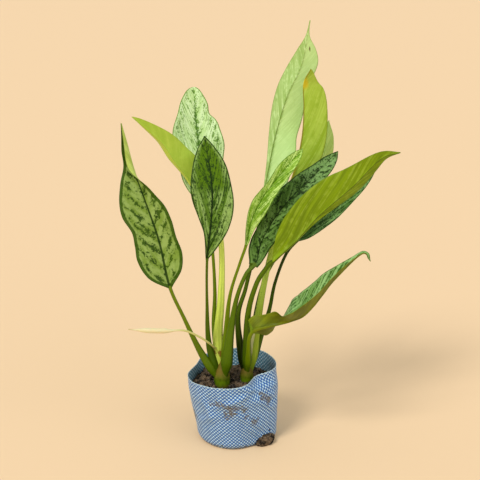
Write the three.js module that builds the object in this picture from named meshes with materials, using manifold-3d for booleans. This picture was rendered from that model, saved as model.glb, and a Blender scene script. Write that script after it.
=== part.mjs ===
// A young chinese evergreen in a small grow bag of woven plastic.
// Millimetres, +Z up. The origin is the middle of the bag's flat base, and the front of the plant is -Y.
import * as THREE from "three";
import { mergeVertices } from "three/addons/utils/BufferGeometryUtils.js";
import Module from "manifold-3d";

const wasm = await Module();
wasm.setup();
const { Manifold, Mesh: SolidMesh } = wasm;
const { smoothstep, degToRad, lerp } = THREE.MathUtils;
const { sin, cos, exp, min, max, PI } = Math;

// ---- Driving dimensions ----

const GAP = 0.3; // clearance between two pieces that touch

// Grow bag: a round bag that leans and widens upwards
const BAG_HEIGHT = 92; // middle height of the rim
const BAG_WALL = 0.8;
const BASE_RADIUS = 51;
const RIM_RADIUS = 60;
const RIM_OFFSET = new THREE.Vector2(-8, 3); // where the middle of the rim lies over the middle of the base
const RIM_SLOPE = [4, 3]; // how far the rim rises above its middle height at the right and at the back
const FOOT_ROUND = 8; // height of the rounded foot
const FOOT_DRAW = 3.5; // how far the foot is drawn in
const FOLD_DEPTH = 1.2; // soft folds that run down the side
const FOLDS = 5;
// Where the rim is pushed in: degrees from +X, depth, spread in degrees, reach down from the rim
const DENTS = [
  { angle: -41, depth: 16, spread: 27, height: 28 },
  { angle: 157, depth: 10, spread: 28, height: 40 },
];
const FLAT = { angle: -62, depth: 6, spread: 26 }; // the side is slack beside the torn corner

// Soil: clods that fill the bag to below its rim
const SOIL_TOP = 72;
const SOIL_INSET = 0.6; // how far the soil stands off the bag's wall
const CLOD_COUNT = 34;
const CLOD_RADIUS = 12; // widest clod; the smallest is half as wide
const CLOD_HEIGHT = 6;
const CLOD_SEED = 11;

// The lump of soil in the bag's torn corner
const LUMP = {
  at: [34.5, -27.5, 5],
  size: [15, 11, 9.5], // half sizes
  turn: 47, // degrees
  roughness: 0.09,
  sides: 20,
  bumps: 6,
  seed: 5,
};
const TEAR_MARGIN = 0.9; // how far the torn edge stands off the lump

const COLOURS = { cane: 0x6d8a2c, flower: 0xeae6c0, soil: 0x5a4636, bag: 0x9cc4dd };

// Leaf blades
const BLADE_THICKNESS = 0.9;
const TIP_HALF_WIDTH = 0.4;
const STALK_HEIGHT = 0.8; // height of a stalk's section as a share of its width
const JOIN_LENGTH = 4; // where the round stalk turns into the blade

// Mesh density
const BAG_SIDES = 36;
const SOIL_RINGS = 7;
const STALK_ROWS = 6;
const BLADE_ROWS = 22;
const HALF_COLUMNS = 3; // columns of the blade on each side of its midrib

// Each shoot is a cane in the soil. Each leaf is one stalk and one blade, given by:
// spine      points along the stalk and the midrib, from the cane to the tip
// bladeFrom  the number of the point where the blade begins
// face       the side that the upper face of the blade looks to
// left/right outline of each half, upper face seen: share of the blade's length and half width
// stalk      radius at the foot and at the blade
// fold/curl  degrees that the left and right halves rise from the midrib, and bend further to the margin
// roll       degrees of twist at the base and the tip, and the stretch of the blade where it happens
// wave       height and number of the margin's waves, and their phases left and right
// lobe       how far the lobes at the blade's base sweep back
// tuck       a half that turns over towards the tip: its side, further fold and curl, and the stretch
const SHOOTS = [
  {
    name: "left_cane",
    axis: [
      [-20, -10, 48],
      [-20, -10, 76],
      [-20, -9, 112],
    ],
    radius: [10, 7.5],
    leaves: [
      {
        name: "leaf_far_left",
        spine: [
          [-24, -11, 80],
          [-48, -12, 122],
          [-68, -10, 166],
          [-86, -4, 207],
          [-99, 8, 263],
          [-117, 20, 314],
          [-130, 30, 350],
          [-138, 36, 380],
          [-145, 36, 407],
        ],
        bladeFrom: 3,
        face: [0.2, -0.95, 0.15],
        left: [
          [0, 2], [0.08, 25], [0.18, 35], [0.28, 32], [0.37, 29], [0.48, 35], [0.57, 33],
          [0.66, 24], [0.75, 12], [0.85, 9], [1, 0.4],
        ],
        right: [
          [0, 3], [0.08, 21], [0.17, 26], [0.27, 22], [0.37, 23], [0.46, 22], [0.56, 14],
          [0.66, 11], [0.8, 10], [1, 0.4],
        ],
        stalk: [5, 2.2],
        fold: [8, 14],
        curl: [8, 10],
        roll: [0, 0, 0, 1],
        wave: [1.5, 2.2, 0.9, 2.2],
        lobe: 3,
        tuck: [1, 90, 60, 0.52, 0.76],
        colour: 0x8fa865,
      },
      {
        name: "leaf_front_left",
        spine: [
          [-23, -9, 84],
          [-36, -11, 128],
          [-38, -22, 190],
          [-37, -32, 252],
          [-32, -26, 297],
          [-31, -15, 340],
          [-40, 6, 397],
        ],
        bladeFrom: 3,
        face: [0.05, -0.95, 0.25],
        left: [
          [0, 2], [0.1, 4], [0.2, 8], [0.3, 15], [0.45, 24], [0.6, 27], [0.75, 23], [0.9, 12],
          [1, 0.4],
        ],
        right: [
          [0, 2], [0.1, 12], [0.25, 22], [0.45, 27], [0.6, 25], [0.75, 20], [0.9, 10], [1, 0.4],
        ],
        stalk: [4.4, 1.6],
        fold: [12, 12],
        curl: [8, 8],
        roll: [0, 0, 0, 1],
        wave: [1.2, 2, 0, 2],
        lobe: 0,
        colour: 0x4f7a2a,
      },
      {
        name: "leaf_back_left",
        spine: [
          [-21, -7, 88],
          [-25, 0, 132],
          [-21, 10, 185],
          [-20, 25, 240],
          [-25, 34, 280],
          [-39, 46, 329],
          [-50, 62, 379],
          [-56, 88, 444],
        ],
        bladeFrom: 4,
        face: [0.25, -0.85, 0.45],
        left: [
          [0, 2], [0.1, 16], [0.3, 31], [0.5, 37], [0.7, 33], [0.85, 24], [0.95, 14], [0.985, 8],
          [1, 2],
        ],
        right: [
          [0, 2], [0.1, 8], [0.3, 24], [0.5, 30], [0.62, 31], [0.71, 30], [0.755, 26], [0.8, 18],
          [0.87, 16], [0.95, 10], [0.985, 6], [1, 2],
        ],
        stalk: [6.8, 3.6],
        fold: [14, 10],
        curl: [8, 2],
        roll: [0, 0, 0, 1],
        wave: [2, 3, 0, 2.4],
        lobe: 0,
        colour: 0xb9d19a,
      },
      {
        name: "leaf_upper_left",
        spine: [
          [-21, -2, 84],
          [-30, 13, 140],
          [-29, 17, 190],
          [-31, 12, 242],
          [-35, 13, 273],
          [-43, 12, 308],
          [-59, 10, 339],
          [-76, 6, 363],
          [-93, 2, 390],
          [-127, -6, 423],
        ],
        bladeFrom: 4,
        face: [-0.3, 0.77, 0.55],
        left: [[0, 2], [0.1, 16], [0.3, 25], [0.5, 25], [0.7, 18], [0.85, 11], [0.95, 5], [1, 0.4]],
        right: [[0, 2], [0.1, 4], [0.3, 6], [0.42, 7], [0.55, 10], [0.7, 12], [0.85, 9], [1, 0.4]],
        stalk: [4, 2],
        fold: [8, 52],
        curl: [6, 6],
        roll: [0, 0, 0, 1],
        wave: [0.5, 2, 0, 0],
        lobe: 0,
        colour: 0xa0bd3c,
      },
      {
        name: "leaf_inner_middle",
        spine: [
          [-17, -10, 90],
          [-14, -10, 150],
          [-9, -12, 198],
          [3, -13, 239],
          [11, -14, 264],
          [17, -17, 294],
          [31, -19, 325],
          [52, -20, 354],
          [79, -18, 386],
        ],
        bladeFrom: 4,
        face: [0.1, -0.9, 0.4],
        left: [
          [0, 2], [0.1, 4], [0.2, 6], [0.3, 9], [0.4, 10], [0.5, 8], [0.6, 7], [0.75, 10],
          [0.85, 9], [0.95, 5], [1, 0.4],
        ],
        right: [[0, 2], [0.1, 5], [0.3, 12], [0.5, 13], [0.7, 11], [0.85, 9], [0.95, 5], [1, 0.4]],
        stalk: [4.6, 1.8],
        fold: [18, 18],
        curl: [5, 5],
        roll: [0, 0, 0, 1],
        wave: [1, 2, 0, 2],
        lobe: 0,
        colour: 0x8fbf4d,
      },
      {
        name: "leaf_dark_middle",
        spine: [
          [-16, -14, 86],
          [-9, -23, 148],
          [-1, -26, 197],
          [11, -24, 229],
          [23, -19, 242],
          [31, -14, 270],
          [49, -12, 302],
          [73, -8, 330],
          [99, 0, 354],
          [124, 10, 377],
        ],
        bladeFrom: 4,
        face: [-0.25, -0.8, 0.5],
        left: [[0, 7], [0.1, 13], [0.3, 14], [0.5, 18], [0.65, 16], [0.8, 10], [0.92, 6], [1, 0.4]],
        right: [
          [0, 5], [0.1, 13], [0.3, 21], [0.5, 23], [0.7, 20], [0.85, 15], [0.95, 8], [1, 0.4],
        ],
        stalk: [7, 2.6],
        fold: [12, 12],
        curl: [5, 5],
        roll: [0, 0, 0, 1],
        wave: [1.5, 2.6, 0, 2],
        lobe: 5,
        colour: 0x3f6136,
      },
    ],
  },
  {
    name: "right_cane",
    axis: [
      [13, 0, 48],
      [13, 0, 76],
      [14, 0, 106],
    ],
    radius: [7.5, 6],
    leaves: [
      {
        name: "leaf_tallest",
        spine: [
          [9, 0, 84],
          [0.5, -2, 160],
          [10.5, 3, 201],
          [20, 9, 243],
          [30, 16, 298],
          [40, 24, 353],
          [49, 28, 398],
          [62, 24, 445],
          [78, 20, 483],
          [87, 12, 536],
        ],
        bladeFrom: 3,
        face: [0, 0.98, 0.15],
        left: [
          [0, 2], [0.1, 11], [0.25, 23], [0.38, 29], [0.46, 28], [0.52, 25], [0.6, 26], [0.7, 24],
          [0.78, 20], [0.84, 20], [0.89, 13], [0.93, 4], [0.965, 1], [1, 0.4],
        ],
        right: [
          [0, 2], [0.15, 3], [0.3, 6], [0.4, 9], [0.5, 14], [0.6, 19], [0.7, 20], [0.8, 18],
          [0.87, 11], [0.93, 3], [0.965, 1], [1, 0.4],
        ],
        stalk: [5.6, 2.6],
        fold: [8, 38],
        curl: [5, 5],
        roll: [40, -5, 0, 1],
        wave: [1, 2, 0, 0],
        lobe: 0,
        colour: 0xa3c56f,
      },
      {
        name: "leaf_upper_right",
        spine: [
          [16, 1, 84],
          [26, 3, 158],
          [33, 4, 202],
          [41, 9, 239],
          [49, 12, 273],
          [63, 12, 324],
          [74, 10, 362],
          [80, 7, 398],
          [81, 4, 432],
          [80, -1, 462],
          [88, -9, 481],
        ],
        bladeFrom: 4,
        face: [0.05, 0.95, 0.3],
        left: [
          [0, 2], [0.1, 7], [0.3, 21], [0.5, 29], [0.7, 30], [0.82, 27], [0.89, 22], [0.94, 15],
          [0.98, 6], [1, 0.4],
        ],
        right: [[0, 2], [0.3, 9], [0.5, 11], [0.7, 10], [0.85, 6], [1, 0.4]],
        stalk: [6, 3.6],
        fold: [8, 98],
        curl: [5, 5],
        roll: [0, 0, 0, 1],
        wave: [0.6, 2, 0, 0],
        lobe: 0,
        colour: 0x93b236,
      },
      {
        name: "leaf_back_right",
        spine: [
          [14, 3, 86],
          [20, 17, 139],
          [32, 26, 197],
          [52, 36, 235],
          [68, 42, 260],
          [90, 47, 307],
          [107, 50, 352],
          [113, 51, 380],
          [115, 51, 408],
        ],
        bladeFrom: 4,
        face: [-0.5, 0.7, 0.5],
        left: [[0, 2], [0.1, 11], [0.3, 20], [0.5, 23], [0.7, 21], [0.85, 13], [1, 0.4]],
        right: [[0, 2], [0.1, 10], [0.3, 16], [0.5, 18], [0.7, 16], [0.85, 10], [1, 0.4]],
        stalk: [3.8, 2],
        fold: [8, 8],
        curl: [5, 5],
        roll: [0, 0, 0, 1],
        wave: [0.6, 2, 0, 0],
        lobe: 0,
        colour: 0xa9cd83,
      },
      {
        name: "leaf_front_right",
        spine: [
          [12, -3, 86],
          [13, -21, 170],
          [23, -29, 216],
          [35, -34, 239],
          [44, -38, 251],
          [71, -45, 279],
          [97, -51, 311],
          [136, -58, 349],
          [167, -66, 384],
          [189, -74, 394],
        ],
        bladeFrom: 4,
        face: [-0.1, 0.95, 0.25],
        left: [
          [0, 2], [0.1, 4], [0.25, 3], [0.37, 5], [0.5, 8.5], [0.62, 12], [0.72, 11.5], [0.82, 8.5],
          [0.9, 4.5], [1, 0.4],
        ],
        right: [
          [0, 2], [0.07, 13], [0.15, 24], [0.25, 31], [0.37, 33], [0.5, 32], [0.6, 29], [0.7, 23],
          [0.8, 16], [0.9, 8.5], [0.96, 3.5], [1, 0.4],
        ],
        stalk: [5.6, 3],
        fold: [12, 5],
        curl: [5, 5],
        roll: [0, 0, 0, 1],
        wave: [1, 2, 0, 0],
        lobe: 0,
        colour: 0x9fb42f,
      },
      {
        name: "leaf_dark_right",
        spine: [
          [17, 3, 86],
          [31, 10, 135],
          [41, 11, 169],
          [48, 10, 206],
          [61, 10, 243],
          [75, 12, 261],
          [94, 16, 280],
          [119, 21, 305],
          [148, 26, 332],
          [177, 31, 363],
        ],
        bladeFrom: 5,
        face: [-0.2, -0.6, 0.8],
        left: [[0, 2], [0.1, 13], [0.3, 19], [0.5, 19], [0.7, 15], [0.85, 9], [1, 0.4]],
        right: [
          [0, 2], [0.1, 14], [0.3, 22], [0.5, 23], [0.7, 21], [0.85, 14], [0.95, 6], [1, 0.4],
        ],
        stalk: [3.8, 2],
        fold: [12, 12],
        curl: [5, 5],
        roll: [0, 0, 0, 1],
        wave: [1, 2, 0, 0],
        lobe: 0,
        colour: 0x355f3a,
      },
      {
        name: "leaf_low_right",
        spine: [
          [13, -3, 86],
          [14, -20, 122],
          [15, -31, 146],
          [21, -37, 159],
          [37, -41, 166],
          [52, -44, 171],
          [66, -48, 176],
          [80, -54, 184],
          [92, -58, 198],
          [104, -60, 215],
          [118, -60, 234],
          [150, -56, 265],
          [161, -56, 256],
        ],
        bladeFrom: 3,
        face: [-0.43, -0.1, 0.89],
        left: [
          [0, 14], [0.04, 23], [0.09, 24], [0.13, 21], [0.18, 28], [0.26, 34], [0.38, 33],
          [0.5, 29], [0.62, 22], [0.75, 12], [0.86, 6], [0.94, 4], [1, 0.4],
        ],
        right: [
          [0, 15], [0.03, 17], [0.08, 15], [0.14, 16], [0.2, 23], [0.27, 27], [0.33, 27], [0.4, 24],
          [0.5, 19], [0.6, 13], [0.7, 9], [0.85, 5], [1, 0.4],
        ],
        stalk: [4, 2.6],
        fold: [22, 44],
        curl: [5, 5],
        roll: [80, -2, 0.04, 0.3],
        wave: [0.8, 3, 0, 0],
        lobe: 2,
        colour: 0x7f8c25,
      },
    ],
  },
];

// The flower: a thin stalk and a slim spathe, rolled round its spadix
const FLOWER = {
  spine: [
    [-27, -5, 122],
    [-30, -12, 127],
    [-37, -24, 138],
    [-48, -30, 148],
    [-66, -37, 159],
    [-86, -43, 161],
    [-108, -50, 164],
    [-134, -56, 168],
  ],
  stalkRadius: 1.3,
  spatheRadius: 3.2,
  spatheFrom: 0.56,
  tipRadius: 0.5,
  rows: 18,
  sides: 10,
};

// ---- Helpers ----

const points = (list) => list.map((p) => new THREE.Vector3(...p));

// The same random numbers on every run
function seeded(seed) {
  let state = seed;
  return () => {
    state = (state + 0x6d2b79f5) | 0;
    let t = Math.imul(state ^ (state >>> 15), 1 | state);
    t = (t + Math.imul(t ^ (t >>> 7), 61 | t)) ^ t;
    return ((t ^ (t >>> 14)) >>> 0) / 4294967296;
  };
}

// A closed solid through rings with the same number of points, closed by a fan at each end
function loft(rings) {
  const sides = rings[0].length;
  const corners = rings.flat();
  const faces = [];
  for (let i = 0; i + 1 < rings.length; i++)
    for (let j = 0; j < sides; j++) {
      const k = (j + 1) % sides;
      const [a, b, c, d] = [i * sides + j, i * sides + k, (i + 1) * sides + k, (i + 1) * sides + j];
      faces.push(a, b, c, a, c, d);
    }
  [rings[0], rings[rings.length - 1]].forEach((ring, end) => {
    const middle = corners.length;
    corners.push(ring.reduce((sum, p) => sum.add(p), new THREE.Vector3()).divideScalar(sides));
    const first = end ? (rings.length - 1) * sides : 0;
    for (let j = 0; j < sides; j++) {
      const [a, b] = [first + j, first + ((j + 1) % sides)];
      if (end) faces.push(a, b, middle);
      else faces.push(b, a, middle);
    }
  });
  return solidFrom(corners, faces);
}

function solidFrom(corners, faces) {
  const make = (order) =>
    new Manifold(
      new SolidMesh({
        numProp: 3,
        vertProperties: new Float32Array(corners.flatMap((p) => [p.x, p.y, p.z])),
        triVerts: new Uint32Array(order),
      }),
    );
  const solid = make(faces);
  if (solid.volume() > 0) return solid;
  return make(faces.slice().reverse());
}

// A closed three.js geometry as a solid
function solidOf(geometry) {
  geometry.deleteAttribute("normal");
  geometry.deleteAttribute("uv");
  const merged = mergeVertices(geometry);
  const { array, count } = merged.getAttribute("position");
  const corners = Array.from({ length: count }, (_, i) => new THREE.Vector3().fromArray(array, 3 * i));
  return solidFrom(corners, [...merged.index.array]);
}

// Only the body itself: the scraps that a cut leaves beside it are dropped
function largest(solid) {
  return solid.decompose().reduce((a, b) => (b.volume() > a.volume() ? b : a));
}

function meshOf(name, solid, colour, roughness) {
  const { numProp, vertProperties, triVerts } = solid.getMesh();
  const position = new Float32Array((vertProperties.length / numProp) * 3);
  for (let i = 0; i < position.length / 3; i++)
    position.set(vertProperties.subarray(i * numProp, i * numProp + 3), i * 3);
  const geometry = new THREE.BufferGeometry();
  geometry.setAttribute("position", new THREE.BufferAttribute(position, 3));
  geometry.setIndex(new THREE.BufferAttribute(triVerts, 1));
  geometry.computeVertexNormals();
  const material = new THREE.MeshStandardMaterial({ color: colour, roughness, metalness: 0 });
  const mesh = new THREE.Mesh(geometry, material);
  mesh.name = name;
  return mesh;
}

// ---- Grow bag and soil ----

// How far an angle lies from the middle of a dent, as a share of its spread
function away(angle, spot) {
  const turn = angle - degToRad(spot.angle);
  return Math.atan2(sin(turn), cos(turn)) / degToRad(spot.spread);
}

const pushedIn = (angle, spot) => spot.depth * exp(-(away(angle, spot) ** 2));

// Outer radius of the bag, about its own leaning axis
function bagRadius(angle, z) {
  const rise = z / BAG_HEIGHT;
  const foot = FOOT_DRAW * max(0, 1 - z / FOOT_ROUND) ** 2;
  const folds = FOLD_DEPTH * rise * cos(FOLDS * angle + 1);
  const dents = DENTS.reduce((sum, spot) => {
    return sum + smoothstep(z, BAG_HEIGHT - spot.height, BAG_HEIGHT) * pushedIn(angle, spot);
  }, 0);
  const flat = (1 - rise) * pushedIn(angle, FLAT);
  return lerp(BASE_RADIUS, RIM_RADIUS, rise ** 0.9) + folds - foot - dents - flat;
}

// A point at a share of the bag's radius, less an inset from its outer surface
function bagPoint(angle, z, inset = 0, share = 1) {
  const radius = (bagRadius(angle, z) - inset) * share;
  const rise = z / BAG_HEIGHT;
  return new THREE.Vector3(
    RIM_OFFSET.x * rise + radius * cos(angle),
    RIM_OFFSET.y * rise + radius * sin(angle),
    z,
  );
}

const bagAngles = Array.from({ length: BAG_SIDES }, (_, i) => (2 * PI * i) / BAG_SIDES);

const rimHeight = (angle) => BAG_HEIGHT + RIM_SLOPE[0] * cos(angle) + RIM_SLOPE[1] * sin(angle);

// Heights of the bag's rings as shares of its own: close together at the rounded foot and at the dent
const BAG_LEVELS = [0, 0.02, 0.05, 0.09, 0.25, 0.45, 0.62, 0.7, 0.78, 0.86, 0.93, 1];

const bagRing = (share, floor, inset) =>
  bagAngles.map((angle) => bagPoint(angle, lerp(floor, rimHeight(angle), share), inset));

// The lump of soil in the torn corner, its half sizes grown by a margin
function lumpSolid(grow) {
  const random = seeded(LUMP.seed);
  const half = new THREE.Vector3(...LUMP.size).addScalar(grow);
  const bumps = Array.from({ length: LUMP.bumps }, () => [random() * 6, random() * 6, 2 + random() * 3]);
  const ball = new THREE.SphereGeometry(1, LUMP.sides, LUMP.sides / 2);
  const position = ball.getAttribute("position");
  for (let i = 0; i < position.count; i++) {
    const p = new THREE.Vector3().fromBufferAttribute(position, i);
    const bump = bumps.reduce((sum, [u, v, n]) => sum + sin(n * p.x + u) * cos(n * p.z + v), 0);
    p.multiply(half).multiplyScalar(1 + (LUMP.roughness * bump) / 2);
    position.setXYZ(i, p.x, p.y, p.z);
  }
  return solidOf(ball.rotateZ(degToRad(LUMP.turn)).translate(...LUMP.at));
}

function bagSolid() {
  const outside = loft(BAG_LEVELS.map((share) => bagRing(share, 0, 0)));
  const inner = BAG_LEVELS.map((share) => bagRing(share, BAG_WALL, BAG_WALL));
  const above = inner[inner.length - 1].map((p) => new THREE.Vector3(p.x, p.y, p.z + BAG_WALL));
  const inside = loft([...inner, above]);
  return largest(outside.subtract(inside).subtract(lumpSolid(TEAR_MARGIN)));
}

function soilSolid(canes) {
  const random = seeded(CLOD_SEED);
  const clods = Array.from({ length: CLOD_COUNT }, () => {
    const angle = 2 * PI * random();
    const radius = RIM_RADIUS * 0.92 * Math.sqrt(random());
    const size = CLOD_RADIUS * (0.5 + 0.5 * random());
    return [RIM_OFFSET.x + radius * cos(angle), RIM_OFFSET.y + radius * sin(angle), size];
  });
  const clodTop = (x, y) =>
    clods.reduce((top, [cx, cy, size]) => {
      const near = max(0, 1 - ((x - cx) ** 2 + (y - cy) ** 2) / size ** 2);
      return max(top, ((CLOD_HEIGHT * size) / CLOD_RADIUS) * Math.sqrt(near));
    }, 0);
  const inset = BAG_WALL + SOIL_INSET;
  const floor = BAG_WALL + GAP;
  const side = [0, 0.025, 0.065, 0.12, 0.32, 0.58, 0.8, 0.9, 1].map((share) =>
    bagAngles.map((angle) => bagPoint(angle, lerp(floor, SOIL_TOP, share), inset)),
  );
  const inward = Array.from({ length: SOIL_RINGS }, (_, i) => 1 - (i + 1) / (SOIL_RINGS + 1));
  const top = inward.map((share) =>
    bagAngles.map((angle) => {
      const p = bagPoint(angle, SOIL_TOP, inset, share);
      p.z += clodTop(p.x, p.y);
      return p;
    }),
  );
  const below = new THREE.BoxGeometry(4 * RIM_RADIUS, 4 * RIM_RADIUS, RIM_RADIUS);
  const ground = solidOf(below.translate(0, 0, GAP - RIM_RADIUS / 2));
  const filled = loft([...side, ...top]).add(lumpSolid(0)).subtract(ground);
  return largest(filled.subtract(Manifold.union(canes)));
}

// ---- Canes, leaves and flower ----

// Points at shares of the length of a stretch of a curve, each with its direction
function along(curve, from, to, shares) {
  const steps = 240;
  const params = Array.from({ length: steps + 1 }, (_, i) => lerp(from, to, i / steps));
  const lengths = [0];
  let last = curve.getPoint(params[0]);
  for (const t of params.slice(1)) {
    const next = curve.getPoint(t);
    lengths.push(lengths[lengths.length - 1] + next.distanceTo(last));
    last = next;
  }
  const total = lengths[steps];
  return shares.map((share) => {
    const want = share * total;
    const i = min(steps, max(1, lengths.findIndex((l) => l >= want - 1e-9)));
    const t = lerp(params[i - 1], params[i], (want - lengths[i - 1]) / (lengths[i] - lengths[i - 1]));
    return { share, total, point: curve.getPoint(t), ahead: curve.getTangent(t) };
  });
}

// The two directions across a leaf: to its right and up from its upper face, turned by a roll in degrees
function across(ahead, face, roll) {
  const up = face.clone().addScaledVector(ahead, -face.dot(ahead)).normalize();
  const right = ahead.clone().cross(up);
  const turn = degToRad(roll);
  return {
    right: right.clone().multiplyScalar(cos(turn)).addScaledVector(up, sin(turn)),
    up: up.clone().multiplyScalar(cos(turn)).addScaledVector(right, -sin(turn)),
  };
}

// A round cane or stalk along a curve, its radius going from one value to another
function tube(curve, radii, rows, sides) {
  const shares = Array.from({ length: rows + 1 }, (_, i) => i / rows);
  const side = new THREE.Vector3(1, 0, 0);
  return loft(
    along(curve, 0, 1, shares).map(({ share, point, ahead }) => {
      const { right, up } = across(ahead, side, 0);
      const radius = radii(share);
      return Array.from({ length: sides }, (_, j) => {
        const angle = (2 * PI * j) / sides;
        return point
          .clone()
          .addScaledVector(right, radius * cos(angle))
          .addScaledVector(up, radius * sin(angle));
      });
    }),
  );
}

const curveOf = (list) => new THREE.CatmullRomCurve3(points(list), false, "catmullrom", 0.5);

// Half width of one side of a blade at a share of its length: a smooth curve through its outline
function halfWidth(outline, u) {
  const last = outline.length - 1;
  const slope = (i) => {
    const [from, to] = [outline[max(0, i - 1)], outline[min(last, i + 1)]];
    return (to[1] - from[1]) / (to[0] - from[0]);
  };
  const next = max(1, outline.findIndex(([share]) => share >= u));
  const [[x0, y0], [x1, y1]] = [outline[next - 1], outline[next]];
  const t = (u - x0) / (x1 - x0);
  const line = y0 * (1 - t) ** 2 * (1 + 2 * t) + y1 * t ** 2 * (3 - 2 * t);
  const bend = (x1 - x0) * t * (1 - t) * (slope(next - 1) * (1 - t) - slope(next) * t);
  return max(line + bend, TIP_HALF_WIDTH);
}

const COLUMNS = 2 * HALF_COLUMNS + 1;

// Rings of the stalk: the upper half of each runs from left to right, the lower half back
function stalkRings(leaf, grow) {
  const curve = curveOf(leaf.spine);
  const face = new THREE.Vector3(...leaf.face).normalize();
  const end = leaf.bladeFrom / (leaf.spine.length - 1);
  const whole = along(curve, 0, end, [1])[0].total;
  const reach = 1 - JOIN_LENGTH / whole;
  const shares = Array.from({ length: STALK_ROWS + 1 }, (_, i) => (reach * i) / STALK_ROWS);
  return along(curve, 0, end, shares).map(({ share, point, ahead }) => {
    const { right, up } = across(ahead, face, leaf.roll[0]);
    const radius = lerp(leaf.stalk[0], leaf.stalk[1], smoothstep(share, 0, 0.8)) + grow;
    return Array.from({ length: 2 * COLUMNS }, (_, j) => {
      const angle = (PI * (COLUMNS - 0.5 - j)) / COLUMNS;
      return point
        .clone()
        .addScaledVector(right, radius * cos(angle))
        .addScaledVector(up, STALK_HEIGHT * radius * sin(angle));
    });
  });
}

// Rings of the blade, in the same order as those of the stalk
function bladeRings(leaf) {
  const curve = curveOf(leaf.spine);
  const face = new THREE.Vector3(...leaf.face).normalize();
  const start = leaf.bladeFrom / (leaf.spine.length - 1);
  const [rollBase, rollTip, rollFrom, rollTo] = leaf.roll;
  const [waveHeight, waves, ...phases] = leaf.wave;
  const [tucked, moreFold, moreCurl, tuckFrom, tuckTo] = leaf.tuck ?? [-1, 0, 0, 0, 1];
  const shares = Array.from({ length: BLADE_ROWS + 1 }, (_, i) => i / BLADE_ROWS);
  return along(curve, start, 1, shares).map(({ share: u, point, ahead }) => {
    const roll = lerp(rollBase, rollTip, smoothstep(u, rollFrom, rollTo));
    const { right, up } = across(ahead, face, roll);
    const upper = [];
    const lower = [];
    for (let j = -HALF_COLUMNS; j <= HALF_COLUMNS; j++) {
      const side = j < 0 ? 0 : 1;
      const sign = Math.sign(j);
      const s = Math.abs(j) / HALF_COLUMNS;
      const turned = tucked === side ? smoothstep(u, tuckFrom, tuckTo) : 0;
      const fold = degToRad(leaf.fold[side] + moreFold * turned);
      const curl = degToRad(leaf.curl[side] + moreCurl * turned);
      const phase = 2 * PI * waves * u + phases[side];
      const scallop = 1 + 0.03 * waveHeight * sin(phase + 1.6) * smoothstep(1 - u, 0, 0.3);
      const width = halfWidth(side ? leaf.right : leaf.left, u) * scallop;
      const waved = smoothstep(0.3 + u / 0.12, 0, 1) * smoothstep(1 - u, 0, 0.15);
      const ripple = waveHeight * s ** 1.6 * sin(phase) * waved;
      const out = (width * (sin(fold + curl * s) - sin(fold))) / curl;
      const rise = (width * (cos(fold) - cos(fold + curl * s))) / curl + ripple;
      const back = leaf.lobe * s ** 2 * max(0, 1 - u / 0.25) ** 2;
      const middle = point
        .clone()
        .addScaledVector(right, sign * out)
        .addScaledVector(up, rise)
        .addScaledVector(ahead, -back);
      const slope = fold + curl * s;
      const normal = up.clone();
      if (sign) normal.multiplyScalar(cos(slope)).addScaledVector(right, -sign * sin(slope));
      const rib = j === 0 ? leaf.stalk[1] * (1 - u) : 0;
      upper.push(middle.clone().addScaledVector(normal, BLADE_THICKNESS / 2));
      lower.unshift(middle.addScaledVector(normal, -BLADE_THICKNESS / 2 - rib));
    }
    return [...upper, ...lower];
  });
}

function leafSolid(leaf, neighbours) {
  const whole = loft([...stalkRings(leaf, 0), ...bladeRings(leaf)]);
  return largest(whole.subtract(Manifold.union(neighbours)));
}

function flowerSolid(neighbours) {
  const { spine, stalkRadius, spatheRadius, spatheFrom, tipRadius, rows, sides } = FLOWER;
  const radii = (u) => {
    const swell = smoothstep(u, spatheFrom, spatheFrom + 0.12);
    const close = smoothstep(u, 0.8, 1);
    return lerp(lerp(stalkRadius, spatheRadius, swell), tipRadius, close);
  };
  return largest(tube(curveOf(spine), radii, rows, sides).subtract(Manifold.union(neighbours)));
}

// ---- The whole plant ----

const plant = new THREE.Group();
const grownCanes = [];
const grownStalks = [];

for (const { name, axis, radius, leaves } of SHOOTS) {
  const cane = (grow) => tube(curveOf(axis), (u) => lerp(radius[0], radius[1], u) + grow, 8, 16);
  plant.add(meshOf(name, cane(0), COLOURS.cane, 0.6));
  grownCanes.push(cane(GAP));
  const placed = [cane(GAP)];
  for (const leaf of leaves) {
    plant.add(meshOf(leaf.name, leafSolid(leaf, placed), leaf.colour, 0.45));
    placed.push(loft(stalkRings(leaf, GAP)));
  }
  grownStalks.push(...placed);
}

plant.add(meshOf("flower", flowerSolid(grownStalks), COLOURS.flower, 0.6));
plant.add(meshOf("soil", soilSolid(grownCanes), COLOURS.soil, 0.95));
plant.add(meshOf("grow_bag", bagSolid(), COLOURS.bag, 0.5));

export default plant;
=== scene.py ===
"""A young chinese evergreen in a small grow bag of woven plastic, standing on a plain floor."""

import math
import random

import bmesh
import bpy
import numpy as np
from mathutils import Euler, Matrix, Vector, noise


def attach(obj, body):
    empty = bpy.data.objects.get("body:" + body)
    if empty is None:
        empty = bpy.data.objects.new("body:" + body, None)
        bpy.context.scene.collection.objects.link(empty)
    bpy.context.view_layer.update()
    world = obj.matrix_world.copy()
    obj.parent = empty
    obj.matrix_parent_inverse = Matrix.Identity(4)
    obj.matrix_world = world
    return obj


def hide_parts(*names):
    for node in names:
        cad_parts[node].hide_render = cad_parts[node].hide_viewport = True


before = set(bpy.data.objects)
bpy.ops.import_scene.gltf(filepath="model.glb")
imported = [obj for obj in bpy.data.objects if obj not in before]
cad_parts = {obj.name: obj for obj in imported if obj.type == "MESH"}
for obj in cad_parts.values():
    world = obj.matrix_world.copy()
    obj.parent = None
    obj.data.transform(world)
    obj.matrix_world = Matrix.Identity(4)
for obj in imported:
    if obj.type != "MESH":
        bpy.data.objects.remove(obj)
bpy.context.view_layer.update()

MM = 0.001

# ---- Shapes: millimetres, as in the part's own frame ----

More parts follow.
